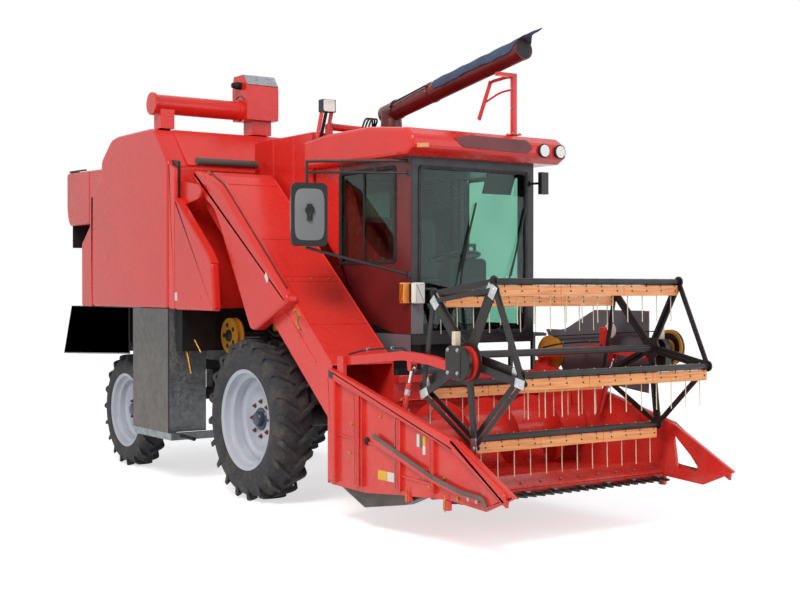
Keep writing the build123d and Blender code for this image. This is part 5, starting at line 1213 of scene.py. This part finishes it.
cloth_grid = spout_cloth(0.7, 2.0, 110, 41)
cloth = piece("canvas_cover", (cloth_grid.reshape(-1, 3), grid_faces(110, 41)[:, ::-1].tolist()), canvas, 180,
    body="unloader")
wall = cloth.modifiers.new("cloth thickness", "SOLIDIFY")
wall.thickness = 0.003
wall.offset = 0
across, along_cloth = np.diff(cloth_grid, axis=1)[:-1], np.diff(cloth_grid, axis=0)[:, :-1]
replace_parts(cloth, "canvas_spout")
mouth = start + way * 1.78
piece("unloader_mouth", tube([mouth - way * 0.03, mouth + way * 0.002], 0.0825, 48), maroon, 40, body="unloader")
# a black disc just inside the mouth: painted shade for the tube's dark inside
piece("unloader_mouth_inside", tube([mouth + way * 0.0015, mouth + way * 0.003], 0.072, 48), sheet_rubber, 40,
    body="unloader")
cable = [start + [0.02, 0.02, 0.05], start + way * 0.1 + [-0.088, 0, 0.01], start + way * 0.16 + [-0.092, 0, 0.03],
    start + way * 0.4 + [-0.08, 0, 0.045], start + way * 0.62 + [-0.08, 0, 0.05]]
piece("unloader_cable", pipe(cable, 0.08, 0.006, 10, 6), sheet_rubber, 50, body="unloader")

post_x, post_y = 0.6, -1.32
piece("stay_arm", [pipe([(post_x, post_y, 3.292), (0.57, post_y + 0.03, 3.296), (0.555, -1.12, 3.282),
    (0.555, -1.09, 3.272)], 0.03, 0.013, 14), bar((0.555, -1.095, 3.285), (0.555, -0.945, 3.0), 0.01, 0.036,
    (0, 1, 0.4)), pipe([(post_x, post_y, 3.2), (0.58, -1.18, 3.19), (0.556, -1.03, 3.13)], 0.05, 0.008, 12)], red,
    40)
piece("stay_foot", box(post_x - 0.045, post_x + 0.045, post_y - 0.045, post_y + 0.045, 2.842, 2.852), red,
    bevel=0.003)
piece("stay_bolts", [bolts([(post_x + u, post_y + v, 2.852) for u in (-0.033, 0.033) for v in (-0.033, 0.033)], "z",
    0.008, 0.007), bolts([(post_x - 0.018, post_y, z) for z in (3.05, 3.2)], "x", 0.009, 0.008, -1)], galvanised,
    30)

# swing cylinder, hoses and the work lamp's bracket over the cab's back
piece("swing_barrel", [tube([(-0.24, 0.005, 2.985), (0.14, 0.06, 2.985)], 0.03, 28),
    tube([(-0.255, 0.003, 2.985), (-0.235, 0.006, 2.985)], 0.036, 28)], red, 40)
piece("swing_rod", tube([(0.13, 0.059, 2.985), (0.36, 0.092, 2.985)], 0.014, 20), chrome, 40)
piece("swing_lugs", [box(-0.275, -0.235, -0.03, 0.035, 2.905, 3.005), box(0.34, 0.375, 0.06, 0.125, 2.93, 3.005)],
    trough_red, bevel=0.005)
hoses = []
for k in range(3):
    hoses.append(pipe([(0.1 + 0.03 * k, 0.045, 3.01), (0.12 + 0.03 * k, 0.03, 3.08), (0.24 + 0.03 * k, 0.1, 3.1),
        (0.3, 0.2, 2.99), (0.31, 0.26, 2.945)], 0.07, 0.008, 10, 6))
piece("swing_hoses", hoses, sheet_rubber, 50)
piece("work_lamp_head", front_panel(soft_outline([(-0.405, 3.082), (-0.295, 3.082), (-0.295, 3.178),
    (-0.405, 3.178)], 0.02), -0.156, -0.164, 0.006), clear_lens, 30)
piece("work_lamp_bracket", [bar((x, -0.045, 2.885), (x, -0.12, 3.09), 0.008, 0.05, (0, 1, 0.3)) for x in (-0.395,
    -0.305)], trough_red, bevel=0.002)

# elevator: end cap and collar bolts, head cheeks, lid, motor and chain guard
el_y, el_z = middle("elevator_tube", 1) - axle_y, body_top + 0.215
piece("elevator_end_cap", turned([(0, 0), (0, 0.08), (0.004, 0.078), (0.007, 0.06), (0.004, 0.05), (0.004, 0)],
    (-half_width + 0.001, el_y, el_z), "x", 48), cast_black, 40)
ring = [(-half_width + 0.026, el_y + 0.092 * cos(a), el_z + 0.092 * sin(a)) for a in np.arange(10) * pi / 5]
piece("elevator_bolts", bolts(ring, "x", 0.006, 0.006), brass, 30)
head = [(el_y - 0.142, body_top + 0.13), (el_y - 0.142, body_top + 0.438), (el_y - 0.061, body_top + 0.538),
    (el_y + 0.118, body_top + 0.538), (el_y + 0.142, body_top + 0.438), (el_y + 0.142, body_top + 0.13)]
for name, x0, x1 in (("outer", -0.279, -0.2835), ("inner", 0.039, 0.0435)):
    piece(f"elevator_cheek_{name}", panel(head, 0.04, x0, x1, 0.004), red, 30)
piece("elevator_lid", prism([(el_y - 0.14, body_top + 0.442), (el_y - 0.062, body_top + 0.538),
    (el_y - 0.068, body_top + 0.5395), (el_y - 0.146, body_top + 0.446)], -0.278, 0.038), bare_steel, bevel=0.001)
piece("elevator_motor", turned([(0, 0), (0, 0.034), (0.05, 0.034), (0.06, 0.026), (0.085, 0.024), (0.088, 0)],
    (-0.2835, el_y - 0.02, body_top + 0.44), "x", 28, -1), cast_black, 35)
piece("elevator_chain_guard", strip(bent([(el_y - 0.1, body_top + 0.3), (el_y, body_top + 0.36),
    (el_y + 0.1, body_top + 0.3)], 0.05), -0.2845, -0.29, 0.012), dark_panel, bevel=0.001)

# ---------------------------------------------------------------- grain tank lids, and cabinets
tank_x = (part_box("grain_tank")[0][0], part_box("grain_tank")[1][0])
lids = [panel([(a, 2.9405), (b, 2.9405), (b, 2.956), (a, 2.956)], 0.003, 0.68, tank_x[1] - 0.04, 0.004, 3) for a,
    b in ((0.1, 0.5), (0.54, 0.98))]
piece("tank_lids", lids, red, 30)
piece("tank_lid_handles", [pipe([(0.86, y, 2.955), (0.86, y, 2.985), (0.98, y, 2.985), (0.98, y, 2.955)], 0.015,
    0.006, 10) for y in (0.3, 0.76)], sheet_rubber, 40)
tank_side = [(0.1, 2.9), (1.0, 2.9), (1.0, 2.46), (0.56, 2.1), (0.3, 2.3), (0.1, 2.42)]
piece("tank_side_press", panel(tank_side, 0.05, tank_x[1] - 0.002, tank_x[1] + 0.008, 0.012), red, 30)
piece("tank_wall_folds", [box(tank_x[0] - 0.004, tank_x[0] + 0.001, y - 0.012, y + 0.012, 2.35, 2.92) for y
    in (0.36, 0.7)], trough_red, bevel=0.002)

for side, sign in mirrored:
    out = sign * (half_width - 0.02)
    for name, outline, finish in (("galvanised", oblong(1.2, 1.33, 0.47, 1.47), galvanised),
            ("grey", oblong(1.345, 1.775, 0.455, 1.475), dark_panel)):
        piece(f"cabinet_{name}_{side}", panel(outline, 0.02, out - sign * 0.001, out + sign * 0.0085, 0.007),
            finish, 30)
    piece(f"cabinet_bolts_{side}", bolts([(out + sign * 0.0085, y, z) for y in (1.365, 1.755) for z in (0.5, 0.95,
        1.43)], "x", 0.008, 0.007, sign), galvanised, 30)
    piece(f"cabinet_labels_{side}", [panel([(1.235, z), (1.235, z + 0.055), (1.295, z + 0.055), (1.295, z)], 0.004,
        out + sign * 0.008, out + sign * 0.0098, 0.0006, 4) for z in (1.2, 1.27)], label_yellow, 30)
    x = sign * (half_width - 0.12)
    rods = [tube([(x, 1.18, 1.44), (x - sign * 0.02, 1.0, 0.94)], 0.011, 14), tube([(x - sign * 0.03, 1.16, 1.4),
        (x - sign * 0.1, 0.98, 1.12)], 0.009, 14)]
    piece(f"linkage_rods_{side}", rods, brass, 40)
    step = [tube([(sign * (half_width - 0.1), 0.86, 0.4), (sign * (half_width - 0.1), 1.66, 0.42)], 0.016, 16),
        box(*sorted((sign * (half_width - 0.13), sign * (half_width - 0.09))), 1.3, 1.34, 0.4, 0.44)]
    piece(f"step_bar_{side}", step, cast_black, 40)

# ---------------------------------------------------------------- engine bay and chassis details
hoses = []
for x, z, dy in ((-0.36, 1.3, 0.0), (-0.33, 1.24, 0.05), (-0.39, 1.2, 0.1), (0.36, 1.3, 0.0), (0.33, 1.22, 0.06)):
    hoses.append(pipe([(x, 0.98 - dy, z + 0.08), (x * 1.12, 0.8, z + 0.02), (x * 1.2, 0.55, z - 0.05),
        (x * 1.1, 0.3, z + 0.05), (x, 0.1, z)], 0.12, 0.014, 12, 6))
piece("engine_hoses", hoses, sheet_rubber, 50)
piece("engine_filter", [turned([(0, 0), (0.0, 0.045), (0.01, 0.052), (0.15, 0.052), (0.16, 0.045), (0.16, 0.02),
    (0.165, 0)], (sign * 0.372, 0.62, 1.3), "z", 32) for _, sign in mirrored], amber_paint, 35)
piece("drive_pulley_hub", [turned([(0, 0), (0, 0.052), (0.01, 0.05), (0.022, 0.034), (0.024, 0)],
    (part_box("drive_pulley")[0][0] + 0.001, 0.842, 1.262), "x", 32, -1),
    *[turned([(0, 0), (0, 0.02), (0.0012, 0.02), (0.0012, 0)], (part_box("drive_pulley")[0][0] - 0.0002,
    0.842 + 0.092 * cos(a), 1.262 + 0.092 * sin(a)), "x", 20, -1) for a in np.arange(5) * 2 * pi / 5]], cast_black,
    35, body="belt_pulley")

# walkway: tread strips; ladder treads
walk_x = (cab_left + 0.006, half_width - 0.026)
treads = [prism([(y, 1.3045), (y + 0.016, 1.3045), (y + 0.012, 1.309), (y + 0.004, 1.309)], *walk_x) for y
    in np.arange(-1.08, -0.2, 0.045)]
piece("walkway_tread", treads, dark_panel)
grips = [prism([(y, z + 0.0298), (y + 0.012, z + 0.0298), (y + 0.008, z + 0.035), (y + 0.004, z + 0.035)],
    half_width - 0.196, half_width - 0.034) for z in (0.44, 0.68, 0.92) for y in np.arange(-0.975, -0.72, 0.04)]
piece("ladder_grips", grips, dark_panel)

# mirrors: moulded grey heads with a rounded back, clamp and tube connectors
def moulded_head(centre, wide, high, deep, across):
    """Mirror housing: a superellipse, whose cosine and sine are raised to 0.4, on rings that shrink towards
    its domed front; across is the (x, y) direction of its width."""
    v = np.linspace(0, 2 * pi, 72, endpoint=False)
    c, s = np.cos(v), np.sin(v)
    u = np.sign(c) * np.abs(c) ** 0.4 * wide / 2
    w = np.sign(s) * np.abs(s) ** 0.4 * high / 2
    levels = ((-0.1, 0.95), (0.0, 1.0), (0.45, 0.99), (0.75, 0.95), (0.93, 0.86), (1.0, 0.7), (1.04, 0.4))
    side, ahead = np.array([*across, 0.0]), np.array([across[1], -across[0], 0.0])
    rings = np.array([u[:, None] * k * side + w[:, None] * k * [0, 0, 1.0] + d * deep * ahead for d, k in levels])
    last = (len(levels) - 1) * 72
    return (rings.reshape(-1, 3) + centre + [0, axle_y, 0], grid_faces(len(levels), 72, close_columns=True).tolist()
        + [list(range(72))[::-1], list(range(last, last + 72))])


mirror_end = (-half_width + 0.145, cab_front + 0.395)
across = np.array([0.95, -0.3]) / np.hypot(0.95, 0.3)
head_at = np.array([mirror_end[0] + 0.005, mirror_end[1] - 0.014, 2.2])
piece("mirror_shell", moulded_head(head_at, 0.274, 0.464, 0.042, across), shell_grey, 40)
front_way = np.array([across[1], -across[0], 0])
piece("mirror_clamp", [tube([head_at + [0, 0, 0.03] + front_way * 0.04, head_at + [0, 0, 0.03] + front_way * 0.062],
    0.034, 24), tube([head_at + [0, 0, -0.045] + front_way * 0.046, head_at + [0, 0, 0.075] + front_way * 0.046],
    0.02, 16)], sheet_rubber, 40)
root = np.array([cab_right - 0.008, cab_front + 0.02, 0])
end = np.array([mirror_end[0], mirror_end[1], 0])
piece("mirror_links", [tube([root + (end - root) * k + [0, 0, 2.505], root + (end - root) * k + [0, 0, 2.595]],
    0.006, 10) for k in (0.33, 0.66)], black_paint, 40)

# driver's seat: padded base and back over a plain pedestal
seat_x = middle("seat", 0)


def crowned_pad(centre, size, crown, channels, axis):
    """Padded block: a superellipsoid of exponent 6 with its top swollen by the product of two parabolas
    and sewn channels pressed in as narrow dips of a cosine across it; axis z lies flat, axis y stands up."""
    u, v = np.meshgrid(np.linspace(-pi / 2, pi / 2, 33), np.linspace(-pi, pi, 96, endpoint=False), indexing="ij")
    power = lambda w: np.sign(w) * np.abs(w) ** 0.34
    x, y, z = power(np.cos(u)) * power(np.cos(v)), power(np.cos(u)) * power(np.sin(v)), power(np.sin(u))
    swell = 1 + crown * (1 - x ** 2) * (1 - y ** 2) * (z > 0)
    dip = 1 - 0.1 * (z > 0.2) * np.exp(-(np.sin(channels * x * pi / 2) / 0.1) ** 2) * (np.abs(x) < 0.9)
    shape = np.stack([x * size[0] / 2, y * size[1] / 2, z * size[2] / 2 * swell * dip], -1)
    if axis == "y":
        shape = np.stack([shape[..., 0], shape[..., 2] * -1, shape[..., 1]], -1)
    grid = shape[1:-1].reshape(-1, 3)
    poles = np.array([shape[0, 0], shape[-1, 0]])
    points = np.concatenate([grid, poles]) + centre + [0, axle_y, 0]
    n, rows = 96, 31
    ring = np.arange(n)
    after = (ring + 1) % n
    faces = grid_faces(rows, n, close_columns=True).tolist()
    faces += np.stack([np.full(n, rows * n), after, ring], -1).tolist()
    faces += np.stack([np.full(n, rows * n + 1), ring + (rows - 1) * n, after + (rows - 1) * n], -1).tolist()
    return points, faces


pad = piece("seat_cushion", crowned_pad([seat_x, -0.73, 1.675], (0.47, 0.45, 0.11), 0.16, 3, "z"), vinyl, 180)
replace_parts(pad, "seat")
back = piece("seat_back", crowned_pad([seat_x, -0.47, 1.99], (0.45, 0.5, 0.095), 0.16, 3, "y"), vinyl, 180)
base = [(0, 0), (0, 0.15), (0.02, 0.15), (0.03, 0.12)]
for k in range(5):
    base += [(0.05 + k * 0.045, 0.135), (0.072 + k * 0.045, 0.112)]
base += [(0.285, 0.14), (0.318, 0.14), (0.318, 0)]
piece("seat_bellows", turned(base, (seat_x, -0.71, 1.302), "z", 48), sheet_rubber, 50)
piece("seat_tray", box(seat_x - 0.2, seat_x + 0.2, -0.9, -0.52, 1.612, 1.632), black_paint, bevel=0.005)
piece("seat_hinges", [bar((seat_x + sx, -0.5, 1.62), (seat_x + sx, -0.45, 1.8), 0.02, 0.05, (0, 1, 0)) for sx
    in (-0.16, 0.16)], black_paint, bevel=0.003)


# ---------------------------------------------------------------- floor, light and camera
def see_white(tree):
    """1 for rays straight from the camera, in gloss and through glass, and 0 for the light on the object."""
    rays = add_node(tree, "ShaderNodeLightPath").outputs
    seen = add_node(tree, "ShaderNodeMath", {"operation": "MAXIMUM"}, {0: rays["Is Glossy Ray"],
        1: rays["Is Transmission Ray"]}).outputs[0]
    seen = add_node(tree, "ShaderNodeMath", {"operation": "MAXIMUM"}, {0: rays["Is Camera Ray"],
        1: seen}).outputs[0]
    return seen


world = bpy.data.worlds.new("studio")
bpy.context.scene.world = world
world.use_nodes = True
sky = world.node_tree
ground = sky.nodes["Background"]
ground.inputs["Color"].default_value = linear("#E9EEF5")
ground.inputs["Strength"].default_value = 0.5
white = add_node(sky, "ShaderNodeBackground", {"Color": (1, 1, 1, 1), "Strength": 1.0})
seen = see_white(sky)
mixed = add_node(sky, "ShaderNodeMixShader", links={0: seen, 1: ground.outputs[0], 2: white.outputs[0]})
sky.links.new(mixed.outputs[0], sky.nodes["World Output"].inputs["Surface"])

floor_mesh = bpy.data.meshes.new("floor")
floor_mesh.from_pydata([(-40, -40, 0), (40, -40, 0), (40, 40, 0), (-40, 40, 0)], [], [(0, 1, 2, 3)])
floor = bpy.data.objects.new("floor", floor_mesh)
bpy.context.scene.collection.objects.link(floor)
floor_paint, tree, shader, place = blank_material("pale studio floor")
tree.links.new(ramp(tree, noise(tree, place, 3000, 2), [(0.3, "#F4F4F4"), (0.7, "#F8F8F8")]),
    shader.inputs["Base Color"])
shader.inputs["Roughness"].default_value = 0.9
glow = add_node(tree, "ShaderNodeMath", {"operation": "MULTIPLY", 1: 0.62}, {0: see_white(tree)}).outputs[0]
glow = add_node(tree, "ShaderNodeEmission", links={"Strength": glow}).outputs[0]
both = add_node(tree, "ShaderNodeAddShader", links={0: shader.outputs[0], 1: glow}).outputs[0]
tree.links.new(both, tree.nodes["Material Output"].inputs["Surface"])
floor_mesh.materials.append(floor_paint)


def lamp(name, energy, size, place, aim, colour="#FFFFFF"):
    """Square soft lamp at a place, turned towards a point."""
    data = bpy.data.lights.new(name, "AREA")
    data.energy = energy
    data.size = size
    data.color = linear(colour)[:3]
    made = bpy.data.objects.new(name, data)
    bpy.context.scene.collection.objects.link(made)
    made.location = place
    way = Vector(aim) - Vector(place)
    made.rotation_mode = "QUATERNION"
    made.rotation_quaternion = way.to_track_quat("-Z", "Y")
    return made


lamp("key", 820, 4, (-7, -6, 9), (0, 0, 1.2), "#FFF6EA")
lamp("fill", 170, 6, (5, -9, 4), (0, -1, 1.2), "#EEF4FF")

camera = bpy.data.objects.new("camera", bpy.data.cameras.new("camera"))
bpy.context.scene.collection.objects.link(camera)
camera.location = (-5.867, -9.31, 1.67)
camera.rotation_euler = (radians(89.455), 0, -radians(34.847))
camera.data.lens = 58.62
camera.data.sensor_width = 36
camera.data.clip_end = 200
bpy.context.scene.camera = camera
bpy.context.scene.view_settings.view_transform = "Standard"
